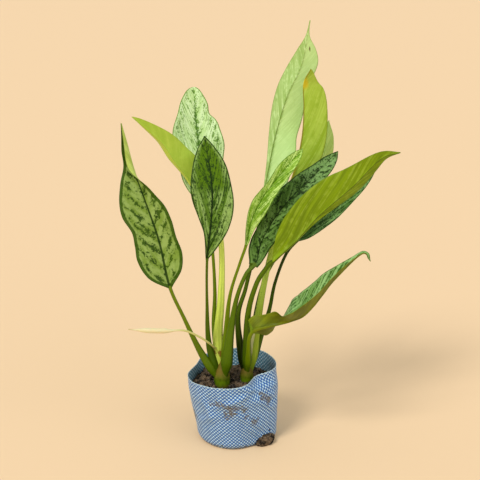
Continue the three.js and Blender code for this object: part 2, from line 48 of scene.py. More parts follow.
# Grow bag
BAG_HEIGHT = 92  # middle height of the rim
BASE_RADIUS = 51
RIM_RADIUS = 60
RIM_OFFSET = np.array([-8, 3])
RIM_SLOPE = (4, 3)  # how far the rim rises above its middle height at the right and at the back
FOOT_ROUND = 8  # height of the rounded edge at the foot
FOOT_DRAW = 3.5  # how far the cloth is drawn in at the foot
FOLD_DEPTH = 1.2
FOLDS = 5
DENTS = [
    {"angle": -41, "depth": 16, "spread": 27, "height": 28},
    {"angle": 157, "depth": 10, "spread": 28, "height": 40},
]
FLAT = {"angle": -62, "depth": 6, "spread": 26}
CRUMPLE = 1.2  # height of the small unevenness of the cloth
FRAY = 0.5  # how far single tapes stand above the rim
CLOTH = 0.45  # thickness of the woven cloth
TAPES_ROUND = 136  # tapes side by side round the bag
TAPE_PITCH = 2.35  # between tapes up the side
RIM_TAPE = BAG_HEIGHT / TAPE_PITCH  # tapes from the foot to the rim
HEM_TAPES = 0.6  # width of the pale hem, in tapes
BAG_COLUMNS = 400
BAG_ROWS = 100
BASE_ROWS = 12
BASE_HOLE = 0.02  # share of the base's radius that its first ring has

# Creases in the cloth: from (angle in degrees, height), to (the same), height of the ridge, half width
CREASES = [
    (-118, 58, -62, 80, 1.6, 4), (-88, 52, -45, 22, 1.4, 4), (-60, 78, -30, 58, -1.4, 5),
    (-52, 66, -22, 44, 1.4, 4), (-150, 30, -115, 48, 1, 5), (-25, 70, -12, 45, 1.2, 5),
    (150, 70, 100, 40, 0.9, 7), (40, 75, 75, 30, 0.8, 7), (-170, 75, -140, 60, 0.6, 5),
    (10, 60, 30, 25, 0.7, 6), (-80, 87, -46, 76, 1.5, 3), (-48, 80, -12, 76, 1.6, 4),
    (-40, 56, -14, 62, -1, 4), (-70, 30, -48, 12, 1.2, 4), (-135, 76, -120, 40, 1, 5),
]
CREASE_LIFT = 1.5  # factor on the height of every ridge

# Drain holes: angle in degrees, height, radius
HOLES = [(-33, 18, 1.6), (-112, 5, 1.5), (150, 12, 1.6), (60, 14, 1.6)]

# Soil
SOIL_FOOT = 1.2
SOIL_TOP = 72
SOIL_INSET = 1.7  # from the outside of the cloth
SOIL_COLUMNS = 180
TOP_CLODS = 360
SMALL_CLODS = (1.4, 3.2)  # least and greatest radius
LARGE_CLODS = (3.2, 6)  # every third clod on the top is a large one
LUMP_AT = np.array([34.5, -27.5, 5])  # middle of the soil that bulges out of the torn corner
LUMP_SIZE = np.array([15, 11, 9.5])
LUMP_TURN = math.radians(47)
LUMP_FOOT = 0.3
LUMP_CLODS = 70
LUMP_CLOD_SIZES = (1.2, 3)
TEAR_MARGIN = 0.9  # from the lump to the edge of the tear

# Leaves
STALK_HEIGHT = 0.8  # height of a stalk's section as a share of its width
FOOT_LENGTH = 24  # stretch of the stalk that widens out of the cane
FOOT_SHRINK = 0.4  # share of its width that the stalk starts with
SHEATH_SWELL = 0.18  # how much wider the sheath is than the stalk
SHEATH_LENGTH = 65  # from the foot to where the sheath has run out
CHANNEL = (0.22, 0.35)  # depth of the stalk's channel as a share of the radius, half width in radians
JOIN_LENGTH = 4  # between the stalk's last ring and the blade
BASE_HALF_WIDTH = 2
TIP_HALF_WIDTH = 0.4
HALF_THICKNESS = (0.26, 0.12)  # of the blade at the midrib, and how much less it is at the margin
VEIN_PITCH = 10.5  # between side veins along the midrib
VEIN_SLANT = 0.9  # how far a vein runs on for each millimetre out from the midrib
VEIN_BEND = 0.014  # how much it bends towards the tip
QUILT = 0.07  # height of the swellings between side veins
MIDRIB_GROOVE = (0.35, 0.9)  # depth and half width, above the midrib
RIB_FOOT = (0.5, 1.2)  # height and half width, where the rib below meets the blade
SCALLOP = 0.03  # how much the width changes along the margin's waves, for each millimetre of their height
UNEVEN = 0.35  # height of the blade's small unevenness
LEAF_COLUMNS = 18  # on each side of the midrib
LEAF_ROWS = 110
STALK_ROWS = 40

# How thick the dark marks lie, from the midrib to the margin
CHAINED = [(0, 0.8), (0.05, 0.6), (0.14, 0.4), (0.3, 0.45), (0.5, 0.55), (0.66, 0.5), (0.8, 0.4), (1, 0.3)]
FEATHERED = [(0, 1), (0.04, 0.85), (0.14, 0.5), (0.3, 0.4), (0.5, 0.45), (0.66, 0.62), (0.84, 0.66),
             (0.93, 0.4), (1, 0.4)]
CROWDED = [(0, 0.8), (0.08, 0.6), (0.3, 0.5), (0.5, 0.5), (0.75, 0.5), (0.9, 0.6), (1, 0.6)]

# Each leaf: spine (points along the stalk and midrib), the point where the blade starts, the side its upper
# face looks to, stalk radii at foot and neck, fold and curl of each half in degrees, roll (base, tip, from,
# to), wave (height, number, phase left and right), sweep of the lobes, tuck, for a half that turns over near
# the tip (side, further fold and curl, from, to), and left and right outline (percent of the blade's length:
# half width), between the half widths that most blades have at their ends. Then its colours, as hex codes of
# sRGB, on the upper face (ground, pale, mark, dark), on the underside (light, deep, glow) and on the stalk
# (foot, neck, shade), and how its marks, veins and fibres differ from the common ones.
PLAIN_LEAF = dict(
    start=4, fold=(12, 12), curl=(5, 5), roll=(0, 0, 0, 1), wave=(1, 2, 0, 0), lobe=0,
    tuck=(None, 0, 0, 0, 1), marks={}, veins={}, fibres={},
)
LEAVES = {
    "leaf_far_left": dict(
        spine=[(-24, -11, 80), (-48, -12, 122), (-68, -10, 166), (-86, -4, 207), (-99, 8, 263),
            (-117, 20, 314), (-130, 30, 350), (-138, 36, 380), (-145, 36, 407)],
        start=3, face=(0.2, -0.95, 0.15), stalk=(5, 2.2), fold=(8, 14), curl=(8, 10),
        wave=(1.5, 2.2, 0.9, 2.2), lobe=3, tuck=(1, 90, 60, 0.52, 0.76),
        left={8: 25, 18: 35, 28: 32, 37: 29, 48: 35, 57: 33, 66: 24, 75: 12, 85: 9},
        right={0: 3, 8: 21, 17: 26, 27: 22, 37: 23, 46: 22, 56: 14, 66: 11, 80: 10},
        slot="leaf_silver", upper="7a9436 94ac58 345200 183400", under="c4d468 aec250 cede7a",
        skin="546c00 667800 3a5000",
        marks=dict(chains=0.22, streaks=0.1, level=0.535, size=1.6, rib=0.15, rim=0.46),
        veins=dict(edge="4a6204"),
    ),
    "leaf_front_left": dict(
        spine=[(-23, -9, 84), (-36, -11, 128), (-38, -22, 190), (-37, -32, 252), (-32, -26, 297),
            (-31, -15, 340), (-40, 6, 397)],
        start=3, face=(0.05, -0.95, 0.25), stalk=(4.4, 1.6), curl=(8, 8), wave=(1.2, 2, 0, 2),
        left={10: 4, 20: 8, 30: 15, 45: 24, 60: 27, 75: 23, 90: 12},
        right={10: 12, 25: 22, 45: 27, 60: 25, 75: 20, 90: 10},
        slot="leaf_dark", upper="5a7c20 94b260 244200 0c2400", under="829e3c 5c7c1e 9cb458",
        skin="425c00 4c6400 283e00",
        marks=dict(stops=CROWDED, level=0.515, blots=0.6, streaks=0.6, size=2, fine=1.4, slant=2.2, bend=0.5,
            pitch=1.3, rim=0.16, rib=0.13, wash=("547600", 0.4, 0.7, 0.7)),
    ),
    "leaf_back_left": dict(
        spine=[(-21, -7, 88), (-25, 0, 132), (-21, 10, 185), (-20, 25, 240), (-25, 34, 280), (-39, 46, 329),
            (-50, 62, 379), (-56, 88, 444)],
        face=(0.25, -0.85, 0.45), stalk=(6.8, 3.6), fold=(14, 10), curl=(8, 2), wave=(2, 3, 0, 2.4),
        left={10: 16, 30: 31, 50: 37, 70: 33, 85: 24, 95: 14, 98.5: 8, 100: 2},
        right={10: 8, 30: 24, 50: 30, 62: 31, 71: 30, 75.5: 26, 80: 18, 87: 16, 95: 10, 98.5: 6, 100: 2},
        slot="leaf_silver", upper="c4e296 dcf2b8 6a962c 36600c", under="bad484 96b65c d0e6a0",
        skin="cede58 dae666 96b02c",
        marks=dict(stops=FEATHERED, level=0.545, blots=0.5, streaks=0.6, size=2.6, fine=1.35, slant=1.3,
            bend=0.4, pitch=1, rim=0.16, rib=0.09),
        # channel: how strong the painted shade along the stalk's channel is
        fibres=dict(scar=(0.14, "7a421a"), channel=0.5),
    ),
    "leaf_upper_left": dict(
        spine=[(-21, -2, 84), (-30, 13, 140), (-29, 17, 190), (-31, 12, 242), (-35, 13, 273), (-43, 12, 308),
            (-59, 10, 339), (-76, 6, 363), (-93, 2, 390), (-127, -6, 423)],
        face=(-0.3, 0.77, 0.55), stalk=(4, 2), fold=(8, 52), curl=(6, 6), wave=(0.5, 2, 0, 0),
        left={10: 16, 30: 25, 50: 25, 70: 18, 85: 11, 95: 5},
        right={10: 4, 30: 6, 42: 7, 55: 10, 70: 12, 85: 9},
        slot="leaf_green", upper="8ca846 a2bc60 507410 325404", under="aac644 a0be3c b8d054",
        skin="567200 688204 3a5600",
        # lift paints light on the right half of the underside, against the shade of its steep fold
        veins=dict(bands=0.4, veins=0.05, edge="9ca41e", lift=(1, "c4de4e")),
    ),
    "leaf_inner_middle": dict(
        spine=[(-17, -10, 90), (-14, -10, 150), (-9, -12, 198), (3, -13, 239), (11, -14, 264), (17, -17, 294),
            (31, -19, 325), (52, -20, 354), (79, -18, 386)],
        face=(0.1, -0.9, 0.4), stalk=(4.6, 1.8), fold=(18, 18), wave=(1, 2, 0, 2),
        left={10: 4, 20: 6, 30: 9, 40: 10, 50: 8, 60: 7, 75: 10, 85: 9, 95: 5},
        right={10: 5, 30: 12, 50: 13, 70: 11, 85: 9, 95: 5},
        slot="leaf_silver", upper="96c042 c8e684 68960c 406c00", under="96b84c 70982a b0cc6a",
        skin="6a8202 708604 486000",
        marks=dict(stops=CROWDED, level=0.49, chains=0, blots=0.5, streaks=0.9, size=1.6, slant=4, bend=0,
            rim=0.05, rib=0.03),
    ),
    "leaf_dark_middle": dict(
        spine=[(-16, -14, 86), (-9, -23, 148), (-1, -26, 197), (11, -24, 229), (23, -19, 242), (31, -14, 270),
            (49, -12, 302), (73, -8, 330), (99, 0, 354), (124, 10, 377)],
        face=(-0.25, -0.8, 0.5), stalk=(7, 2.6), wave=(1.5, 2.6, 0, 2), lobe=5,
        left={0: 7, 10: 13, 30: 14, 50: 18, 65: 16, 80: 10, 92: 6},
        right={0: 5, 10: 13, 30: 21, 50: 23, 70: 20, 85: 15, 95: 8},
        slot="leaf_dark", upper="486a22 70944a 223e04 061800", under="789642 547624 8ca654",
        skin="506a00 546c00 1a2c00",
        marks=dict(stops=CROWDED, level=0.515, blots=0.8, streaks=0.4, size=2.2, fine=1.5, slant=1.6,
            bend=0.2, pitch=1.3, rim=0.14, rib=0.04, wash=("7ea25c", 0.5, 0.85, 0.9)),
    ),
    "leaf_tallest": dict(
        spine=[(9, 0, 84), (0.5, -2, 160), (10.5, 3, 201), (20, 9, 243), (30, 16, 298), (40, 24, 353),
            (49, 28, 398), (62, 24, 445), (78, 20, 483), (87, 12, 536)],
        start=3, face=(0, 0.98, 0.15), stalk=(5.6, 2.6), fold=(8, 38), roll=(40, -5, 0, 1),
        left={10: 11, 25: 23, 38: 29, 46: 28, 52: 25, 60: 26, 70: 24, 78: 20, 84: 20, 89: 13, 93: 4, 96.5: 1},
        right={15: 3, 30: 6, 40: 9, 50: 14, 60: 19, 70: 20, 80: 18, 87: 11, 93: 3, 96.5: 1},
        slot="leaf_green", upper="8ca84e a2bc68 507416 325408", under="accc7a 94b85c d4f0a6",
        # The stalk's near-black foot is painted shade, where it runs down in the dark between the two shoots.
        skin="1a2800 546e00 0c1800",
        # lift paints light on the left half of the underside, against the shade it lies in
        veins=dict(slant=1.7, bands=0.75, veins=1, rib="607e18", rib_end=0.8, edge="88a03e",
            lift=(-1, "ccee9c"), spots=[("60501e", 0.885, -0.42, 0.014)]),
    ),
    "leaf_upper_right": dict(
        spine=[(16, 1, 84), (26, 3, 158), (33, 4, 202), (41, 9, 239), (49, 12, 273), (63, 12, 324),
            (74, 10, 362), (80, 7, 398), (81, 4, 432), (80, -1, 462), (88, -9, 481)],
        face=(0.05, 0.95, 0.3), stalk=(6, 3.6), fold=(8, 98), wave=(0.6, 2, 0, 0),
        left={10: 7, 30: 21, 50: 29, 70: 30, 82: 27, 89: 22, 94: 15, 98: 6},
        right={30: 9, 50: 11, 70: 10, 85: 6},
        slot="leaf_green", upper="8ca846 a2bc60 507414 325406", under="aecc4a 96b62c c4de64",
        skin="849a14 b4ca4e 6e8814",
        veins=dict(slant=2.4, bands=0.45, veins=0.4, rib="88760a", edge="8c9814",
            spots=[("e4ba18", 0.86, 0.5, 0.03), ("cebe28", 0.9, -0.05, 0.05)]),
        fibres=dict(strip=("eeeaac", 0.15, 0.95, 0.44)),
    ),
    "leaf_back_right": dict(
        spine=[(14, 3, 86), (20, 17, 139), (32, 26, 197), (52, 36, 235), (68, 42, 260), (90, 47, 307),
            (107, 50, 352), (113, 51, 380), (115, 51, 408)],
        face=(-0.5, 0.7, 0.5), stalk=(3.8, 2), fold=(8, 8), wave=(0.6, 2, 0, 0),
        left={10: 11, 30: 20, 50: 23, 70: 21, 85: 13},
        right={10: 10, 30: 16, 50: 18, 70: 16, 85: 10},
        slot="leaf_silver", upper="a8c46c bed68a 5c8228 3c6012", under="aaca68 96ba54 c2dc84",
        skin="3c5400 5c780a 223400",
    ),
    "leaf_front_right": dict(
        spine=[(12, -3, 86), (13, -21, 170), (23, -29, 216), (35, -34, 239), (44, -38, 251), (71, -45, 279),
            (97, -51, 311), (136, -58, 349), (167, -66, 384), (189, -74, 394)],
        face=(-0.1, 0.95, 0.25), stalk=(5.6, 3), fold=(12, 5),
        left={10: 4, 25: 3, 37: 5, 50: 8.5, 62: 12, 72: 11.5, 82: 8.5, 90: 4.5},
        right={7: 13, 15: 24, 25: 31, 37: 33, 50: 32, 60: 29, 70: 23, 80: 16, 90: 8.5, 96: 3.5},
        slot="leaf_green", upper="829c40 98b25a 486a10 2a4a04", under="809e00 688200 aac446",
        skin="486200 546e00 1c2e00",
        veins=dict(slant=3.4, bands=0.4, veins=0.05, rib="485a00", edge="647600"),
    ),
    "leaf_dark_right": dict(
        spine=[(17, 3, 86), (31, 10, 135), (41, 11, 169), (48, 10, 206), (61, 10, 243), (75, 12, 261),
            (94, 16, 280), (119, 21, 305), (148, 26, 332), (177, 31, 363)],
        start=5, face=(-0.2, -0.6, 0.8), stalk=(3.8, 2),
        left={10: 13, 30: 19, 50: 19, 70: 15, 85: 9},
        right={10: 14, 30: 22, 50: 23, 70: 21, 85: 14, 95: 6},
        slot="leaf_dark", upper="527c34 88b068 284c0e 0e2800", under="789642 547624 8ca654",
        skin="547006 2c4200 223400",
        marks=dict(stops=CROWDED, level=0.495, blots=0.6, streaks=0.6, slant=2.4, bend=0.4, rim=0.12,
            rib=0.04),
    ),
    "leaf_low_right": dict(
        spine=[(13, -3, 86), (14, -20, 122), (15, -31, 146), (21, -37, 159), (37, -41, 166), (52, -44, 171),
            (66, -48, 176), (80, -54, 184), (92, -58, 198), (104, -60, 215), (118, -60, 234), (150, -56, 265),
            (161, -56, 256)],
        start=3, face=(-0.43, -0.1, 0.89), stalk=(4, 2.6), fold=(22, 44), roll=(80, -2, 0.04, 0.3),
        wave=(0.8, 3, 0, 0), lobe=2,
        left={0: 14, 4: 23, 9: 24, 13: 21, 18: 28, 26: 34, 38: 33, 50: 29, 62: 22, 75: 12, 86: 6, 94: 4},
        right={0: 15, 3: 17, 8: 15, 14: 16, 20: 23, 27: 27, 33: 27, 40: 24, 50: 19, 60: 13, 70: 9, 85: 5},
        slot="leaf_silver", upper="7aa454 9cc47a 3e6416 204400", under="6e7a00 586200 86920c",
        skin="607a00 728600 3e5400",
        marks=dict(stops=CROWDED, level=0.52, blots=0.5, streaks=0.7, size=1.1, fine=0.7, slant=3, bend=0.2,
            pitch=1.8, rim=0.08, rib=0.05),
        veins=dict(bands=0.35, veins=0.08, edge="82921e"),
    ),
}

# Each cane: its axis, and its radius at the foot and towards the head, where it narrows
CANES = {
    "left_cane": dict(axis=[(-20, -10, 48), (-20, -10, 76), (-19, -6, 110)], radius=(10.4, 9.6)),
    "right_cane": dict(axis=[(12, 0, 48), (12, 0, 76), (12, 2, 108)], radius=(8.6, 8.2)),
}
CANE_NARROWS = 6
CANE_SECTIONS = 6  # between the rings that old leaves left
CANE_RING = 0.2  # height of these rings
CANE_GRID = (60, 48)  # rows, columns

FLOWER = dict(
    spine=[(-27, -5, 122), (-30, -12, 127), (-37, -24, 138), (-48, -30, 148), (-66, -37, 159),
           (-86, -43, 161), (-108, -50, 164), (-134, -56, 168)],
    stalk=1.3, spathe=3.2, spathe_from=0.56, tip=0.5,
)
FLOWER_GRID = (120, 24)


# ---- Materials ----

def linear(colour):
    """A colour given as the hex code of its sRGB, as the shaders want it."""
    shares = [c / 255 for c in bytes.fromhex(colour)]
    return (*(c / 12.92 if c <= 0.04045 else ((c + 0.055) / 1.055) ** 2.4 for c in shares), 1)


class Value:
    """What comes out of a node. Arithmetic with it adds the nodes that do the sum."""

    def __init__(self, shader, socket):
        self.shader = shader
        self.socket = socket

    def math(self, operation, *others):
        return self.shader.node("Math", (self, *others), operation=operation)

    def __add__(self, other):
        return self.math("ADD", other)

    def __sub__(self, other):
        return self.math("SUBTRACT", other)

    def __mul__(self, other):
        return self.math("MULTIPLY", other)

    def __rtruediv__(self, other):
        return self.shader.node("Math", (other, self), operation="DIVIDE")

    def __abs__(self):
        return self.math("ABSOLUTE")

    def ease(self, low, high, to_low=0, to_high=1):
        """Goes smoothly from to_low to to_high as the value goes from low to high."""
        inputs = (self, low, high, to_low, to_high)
        return self.shader.node("MapRange", inputs, interpolation_type="SMOOTHSTEP")


def distance(x, y):
    return (x * x + y * y).math("SQRT")


class Shader:
    """A node material with one Principled BSDF, and short names for the nodes it uses."""

    def __init__(self, name, colour, rough, gloss):
        self.material = bpy.data.materials.new(name)
        self.material.use_nodes = True
        self.tree = self.material.node_tree
        self.colour = colour
        self.set("Roughness", rough)
        self.set("Specular IOR Level", gloss)

    def set(self, socket, value):
        self.put(value, self.tree.nodes["Principled BSDF"].inputs[socket])

    def put(self, value, socket):
        """Links a value to a socket, or sets the socket to a colour or a number."""
        if isinstance(value, Value):
            self.tree.links.new(value.socket, socket)
        else:
            socket.default_value = linear(value) if isinstance(value, str) else value

    def node(self, kind, inputs=(), out=0, **settings):
        made = self.tree.nodes.new("ShaderNode" + kind)
        for key, value in settings.items():
            setattr(made, key, value)
        for key, value in inputs.items() if isinstance(inputs, dict) else enumerate(inputs):
            self.put(value, made.inputs[key])
        return Value(self, made.outputs[out])

    def uv(self, name):
        """The two coordinates of a UV map."""
        across = self.node("SeparateXYZ", [self.node("UVMap", uv_map=name)])
        return across, Value(self, across.socket.node.outputs[1])

    def noise(self, at, scale, detail=3, rough=0.55, warp=0):
        if isinstance(at, tuple):
            at = self.node("CombineXYZ", at)
        inputs = {"Vector": at, "Scale": scale, "Detail": detail, "Roughness": rough, "Distortion": warp}
        return self.node("TexNoise", inputs)

    def mix(self, share, a, b):
        return self.node("Mix", {0: share, 6: a, 7: b}, 2, data_type="RGBA")

    def paint(self, share, tint):
        """Lays a share of a tint over the colour so far."""
        self.colour = self.mix(share, self.colour, tint)

    def profile(self, value, stops):
        """A value read from stops of (position, height), with straight lines between them."""
        profile = self.node("ValToRGB", [value])
        elements = profile.socket.node.color_ramp.elements
        while len(elements) < len(stops):
            elements.new(0.5)
        for element, (position, height) in zip(elements, stops):
            element.position = position
            element.color = (height, height, height, 1)
        return profile

    def finish(self, height=None, distance=0, strength=1):
        """The material, with its colour, and the bumps of a height."""
        self.set("Base Color", self.colour)
        if height is not None:
            bumps = {"Height": height, "Distance": distance, "Strength": strength}
            self.set("Normal", self.node("Bump", bumps))
        return self.material


# ---- Leaf materials ----

def vein_place(length, gap, slant, bend):
    """How far along the midrib the vein through a point starts, in cm."""
    return length - gap * (gap * bend + slant)


def margin_gap(side, gap):
    """The distance from the margin, in cm."""
    return gap * (1 / side.math("MAXIMUM", 0.02) - 1)


def upper_face(name, seed, ground, pale, mark, dark, stops=CHAINED, level=0.56, chains=0.1, blots=1,
               streaks=0.3, size=2.4, fine=1, slant=0.9, bend=0.14, pitch=2, rim=0.28, rib=0.1, wash=None):
    """The upper face: a pale ground with dark ragged marks along the veins, and a dark midrib and margin."""
    s = Shader(name, ground, 0.4, 0.11)
    along, across = s.uv("Blade")
    length, out = s.uv("Vein")
    side, gap = abs(across), abs(out)
    vein = vein_place(length, gap, slant, bend)
    drift = s.noise((vein * 0.8, out * 0.8, seed), 1, 2)
    wavy = vein + (drift - 0.5) * 2.6
    ridge = abs((wavy * (1 / pitch)).math("FRACT") - 0.5)
    blot = s.noise((length, out, seed + 3), size, 4, 0.7, 0.5)
    streak = s.noise((wavy * 1.6, out * 0.34, seed + 7), 2 * fine, 4, 0.6, 0.3)
    ragged = s.noise((length, out * 1.3, seed + 9), 5.5, 3, 0.6)
    total = blot * blots + streak * streaks + (ridge * 2 - 0.5) * chains
    total = total + (s.profile(side, stops) - 0.5) * 0.28 + (ragged - 0.5) * 0.3
    middle = level * (blots + streaks)
    cloud = s.noise((vein * 0.5, out * 0.5, seed + 1), 1.5)
    s.paint(cloud.ease(0.38, 0.62), pale)
    if wash:
        tint, from_share, to_share, reach = wash
        wide = along.ease(from_share, to_share) + (cloud - 0.5) * 0.9
        s.paint(wide.ease(0.3, 0.75) * side.ease(reach + 0.25, reach - 0.2), tint)
    s.paint(total.ease(middle - 0.14, middle + 0.02) * 0.25, mark)
    blotch = s.mix(s.noise((vein, out, seed + 5), 2.6, 2).ease(0.42, 0.66), mark, dark)
    s.paint(total.ease(middle, middle + 0.04) * 0.92, blotch)
    edge = margin_gap(side, gap) + (ragged - 0.5) * 0.3
    inner = edge.ease(rim, rim + 0.08) * edge.ease(rim + 0.26, rim + 0.1)
    broken = s.noise((vein * 0.6, side * 2, seed + 11), 1.8, 2).ease(0.4, 0.54)
    s.paint(inner * broken * 0.7, pale)
    s.paint(edge.ease(rim, rim - 0.08) * 0.9, mark)
    s.paint(edge.ease(0.09, 0.02) * 0.45, dark)
    midrib = (gap - (along * (-0.75 * rib) + rib)).ease(0.05, -0.02)
    s.paint(midrib * along.ease(0.95, 0.7, 0, 0.9), dark)
    return s.finish(ridge.ease(0, 0.35) * 0.4 + blot * 0.5 + ragged * 0.25, 0.0004, 0.35)


def under_face(name, seed, light, deep, glow, slant=1.6, bend=0.1, bands=0.5, veins=0.3, rib=None,
               rib_end=1.4, edge=None, lift=None, spots=()):
    """The plain underside: soft bands and pale veins that leave the midrib at a sharp angle, and painted
    light on one half where lift asks for it.
    """
    s = Shader(name, light, 0.48, 0.2)
    along, across = s.uv("Blade")
    length, out = s.uv("Vein")
    side, gap = abs(across), abs(out)
    start = vein_place(length, gap, slant, bend)
    cloud = s.noise((start * 0.42, out * 0.3, seed), 1.3, 3, 0.55, 0.3)
    mottle = s.noise((length, out, seed + 1), 1.1, 4, 0.65, 0.4)
    band = s.noise((start * 0.95, out * 0.3, seed + 2), 1.2, 3, 0.55, 0.6)
    streak = s.noise((start * 5, out * 0.4, seed + 4), 1.4, 2, 0.5)
    s.paint(cloud.ease(0.36, 0.64), deep)
    s.paint((band + (mottle - 0.5) * 0.5).ease(0.5, 0.68) * bands, glow)
    s.paint(mottle.ease(0.5, 0.3) * (bands * 0.6), deep)
    bent = start + (band + cloud + mottle) * 0.9
    line = abs((bent * 0.62).math("FRACT") - 0.5)
    vein = line.ease(0.13, 0) * (side.ease(0.98, 0.7) * mottle.ease(0.4, 0.62, 0.25, 1))
    s.paint(vein * veins, glow)
    s.paint(streak.ease(0.5, 0.68) * 0.12, glow)
    s.paint(streak.ease(0.46, 0.3) * 0.1, deep)
    # Painted light: lift lightens the half of the underside that its sign picks, to make up for the shade its
    # fold puts it in.
    if lift:
        way, tint = lift
        s.paint((across * way).ease(0, 0.12, 0, 0.75), tint)
    thin = gap.ease(0.06, 0.02) * along.ease(rib_end, rib_end - 0.25)
    s.paint(thin * 0.8, rib or light)
    s.paint(margin_gap(side, gap).ease(0.12, 0.03) * 0.55, edge or deep)
    for tint, spot_along, spot_across, size in spots:
        reach = distance((along - spot_along) * (1 / size), (across - spot_across) * (0.16 / size))
        s.paint((reach + (streak - 0.5) * 0.6).ease(1, 0.3), tint)
    return s.finish(vein * 0.4 + streak * 0.3, 0.0004, 0.4)


def stalk_skin(name, seed, foot, neck, shade, scar=None, strip=None, channel=0):
    """A smooth stalk: fibres run along it, and it changes colour from foot to neck; painted shade darkens its
    sides and the line of its channel.
    """
    s = Shader(name, foot, 0.42, 0.16)
    along, across = s.uv("Blade")
    length, _ = s.uv("Vein")
    fibre = s.noise((length * 0.12, across * 1.4, seed), 7, 3, 0.6)
    cloud = s.noise((length * 0.4, across, seed + 4), 1.2, 2)
    s.paint((along + (cloud - 0.5) * 0.5).ease(0, 0.9), neck)
    s.paint(fibre.ease(0.46, 0.62) * 0.3, neck)
    s.paint(fibre.ease(0.45, 0.3) * 0.5, shade)
    fleck = s.noise((length * 2.2, across * 1.6, seed + 8), 2.4, 3, 0.7)
    s.paint(fleck.ease(0.6, 0.68) * 0.4, shade)
    side = abs(across)
    # Painted shade: the stalk darkens towards its sides, where the light falls off round it.
    s.paint(side.ease(0.72, 1, 0, 0.6), shade)
    # Painted shade along the line of the channel on the stalk's upper side, and along the same line below.
    s.paint(side.ease(0.16, 0.04, 0, channel), shade)
    if strip:
        pale, low, high, top = strip
        edge = across + (fibre - 0.5) * 0.5
        share = edge.ease(low, low + 0.15) * edge.ease(high, high - 0.15)
        s.paint(share * along.ease(top, top - 0.12), pale)
    if scar:
        place, brown = scar
        worn = abs(along + across * 0.02 - place).ease(0.055, 0) + (fleck + cloud - 1) * 1.3
        s.paint((worn + across * 0.3).ease(0.5, 0.85) * 0.85, brown)
    return s.finish(fibre, 0.0004, 0.5)


# ---- Curves and meshes ----

def spline(points, t):
    """Points and directions at values of t from 0 to 1 on a smooth curve through the points."""
    p = np.array(points, float)
    p = np.vstack([2 * p[0] - p[1], p, 2 * p[-1] - p[-2]])
    spans = len(p) - 3
    x = np.clip(np.asarray(t, float) * spans, 0, spans - 1e-9)
    i = x.astype(int)
    w = (x - i)[:, None]
    a, b, c, d = p[i], p[i + 1], p[i + 2], p[i + 3]
    enter, leave = (c - a) / 2, (d - b) / 2
    k2 = 3 * (c - b) - 2 * enter - leave
    k3 = 2 * (b - c) + enter + leave
    point = b + enter * w + k2 * w ** 2 + k3 * w ** 3
    ahead = enter + 2 * k2 * w + 3 * k3 * w ** 2
    return point, ahead / np.linalg.norm(ahead, axis=1, keepdims=True)


def along_curve(points, start, end, shares):
    """Points and directions at shares of the length of a stretch of the curve, and that length."""
    t = np.linspace(start, end, 400)
    point, _ = spline(points, t)
    length = np.r_[0, np.cumsum(np.linalg.norm(np.diff(point, axis=0), axis=1))]
    where = np.interp(np.asarray(shares) * length[-1], length, t)
    return (*spline(points, where), length[-1])


def ease(x, low, high):
    """Goes smoothly from 0 to 1 as x goes from low to high."""
    x = np.clip((np.asarray(x, float) - low) / (high - low), 0, 1)
    return x * x * (3 - 2 * x)


def lerp(a, b, share):
    return a + (b - a) * share


def wobble(points, scale, seed):
    """Smooth noise from -1 to 1 at each point."""
    offset = Vector((7.3 * seed, 3.1 * seed, 5.7 * seed))
    flat = np.asarray(points, float).reshape(-1, 3)
    values = [noise.noise(Vector(p) * scale + offset) for p in flat]
    return np.array(values).reshape(np.asarray(points).shape[:-1])


def pairs(x, y):
    """Two coordinates side by side, once each is spread to the same shape."""
    return np.stack(np.broadcast_arrays(x, y), -1)


def about(point, right, up, x, y):
    """Rings of points about each point: so far to its right and so far up."""
    return point[:, None] + right[:, None] * x[..., None] + up[:, None] * y[..., None]


def grid_faces(rows, columns):
    """Quads between closed rings of points, and the row and unrolled column of each corner."""
    i, j = np.meshgrid(np.arange(rows - 1), np.arange(columns), indexing="ij")
    i, j = i.ravel(), j.ravel()
    row = np.stack([i, i, i + 1, i + 1], 1)
    column = np.stack([j, j + 1, j + 1, j], 1)
    return row * columns + column % columns, row, column


def end_faces(rows, columns):
    """The two faces that close a tube of rings."""
    return [np.arange(columns)[::-1], (rows - 1) * columns + np.arange(columns)]


def make_object(name, verts, faces, maps, materials, which=None, smooth=True):
    """A mesh object from points in millimetres. maps holds each UV map as one pair for each corner."""
    mesh = bpy.data.meshes.new(name)
    mesh.from_pydata(np.asarray(verts, float) * MM, [], faces)
    for key, values in maps.items():
        layer = mesh.uv_layers.new(name=key)
        layer.uv.foreach_set("vector", np.asarray(values, np.float32).ravel())
    for material in materials:
        mesh.materials.append(material)
    if which is not None:
        mesh.polygons.foreach_set("material_index", np.asarray(which, np.int32))
    mesh.polygons.foreach_set("use_smooth", [smooth] * len(faces))
    mesh.update()
    mesh.validate()
    made = bpy.data.objects.new(name, mesh)
    bpy.context.scene.collection.objects.link(made)
    return made


def install(made, slot, *nodes):
    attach(made, "root")
    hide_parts(*nodes)


# ---- Leaves ----

def frames_across(ahead, face, roll):
    """The directions to the right and up from the upper face, turned by a roll in degrees."""
    face = np.array(face, float)
    face /= np.linalg.norm(face)
    up = face - (ahead @ face)[:, None] * ahead
    up /= np.linalg.norm(up, axis=1, keepdims=True)
    right = np.cross(ahead, up)
    turn = np.radians(roll)[:, None]
    return right * np.cos(turn) + up * np.sin(turn), up * np.cos(turn) - right * np.sin(turn)


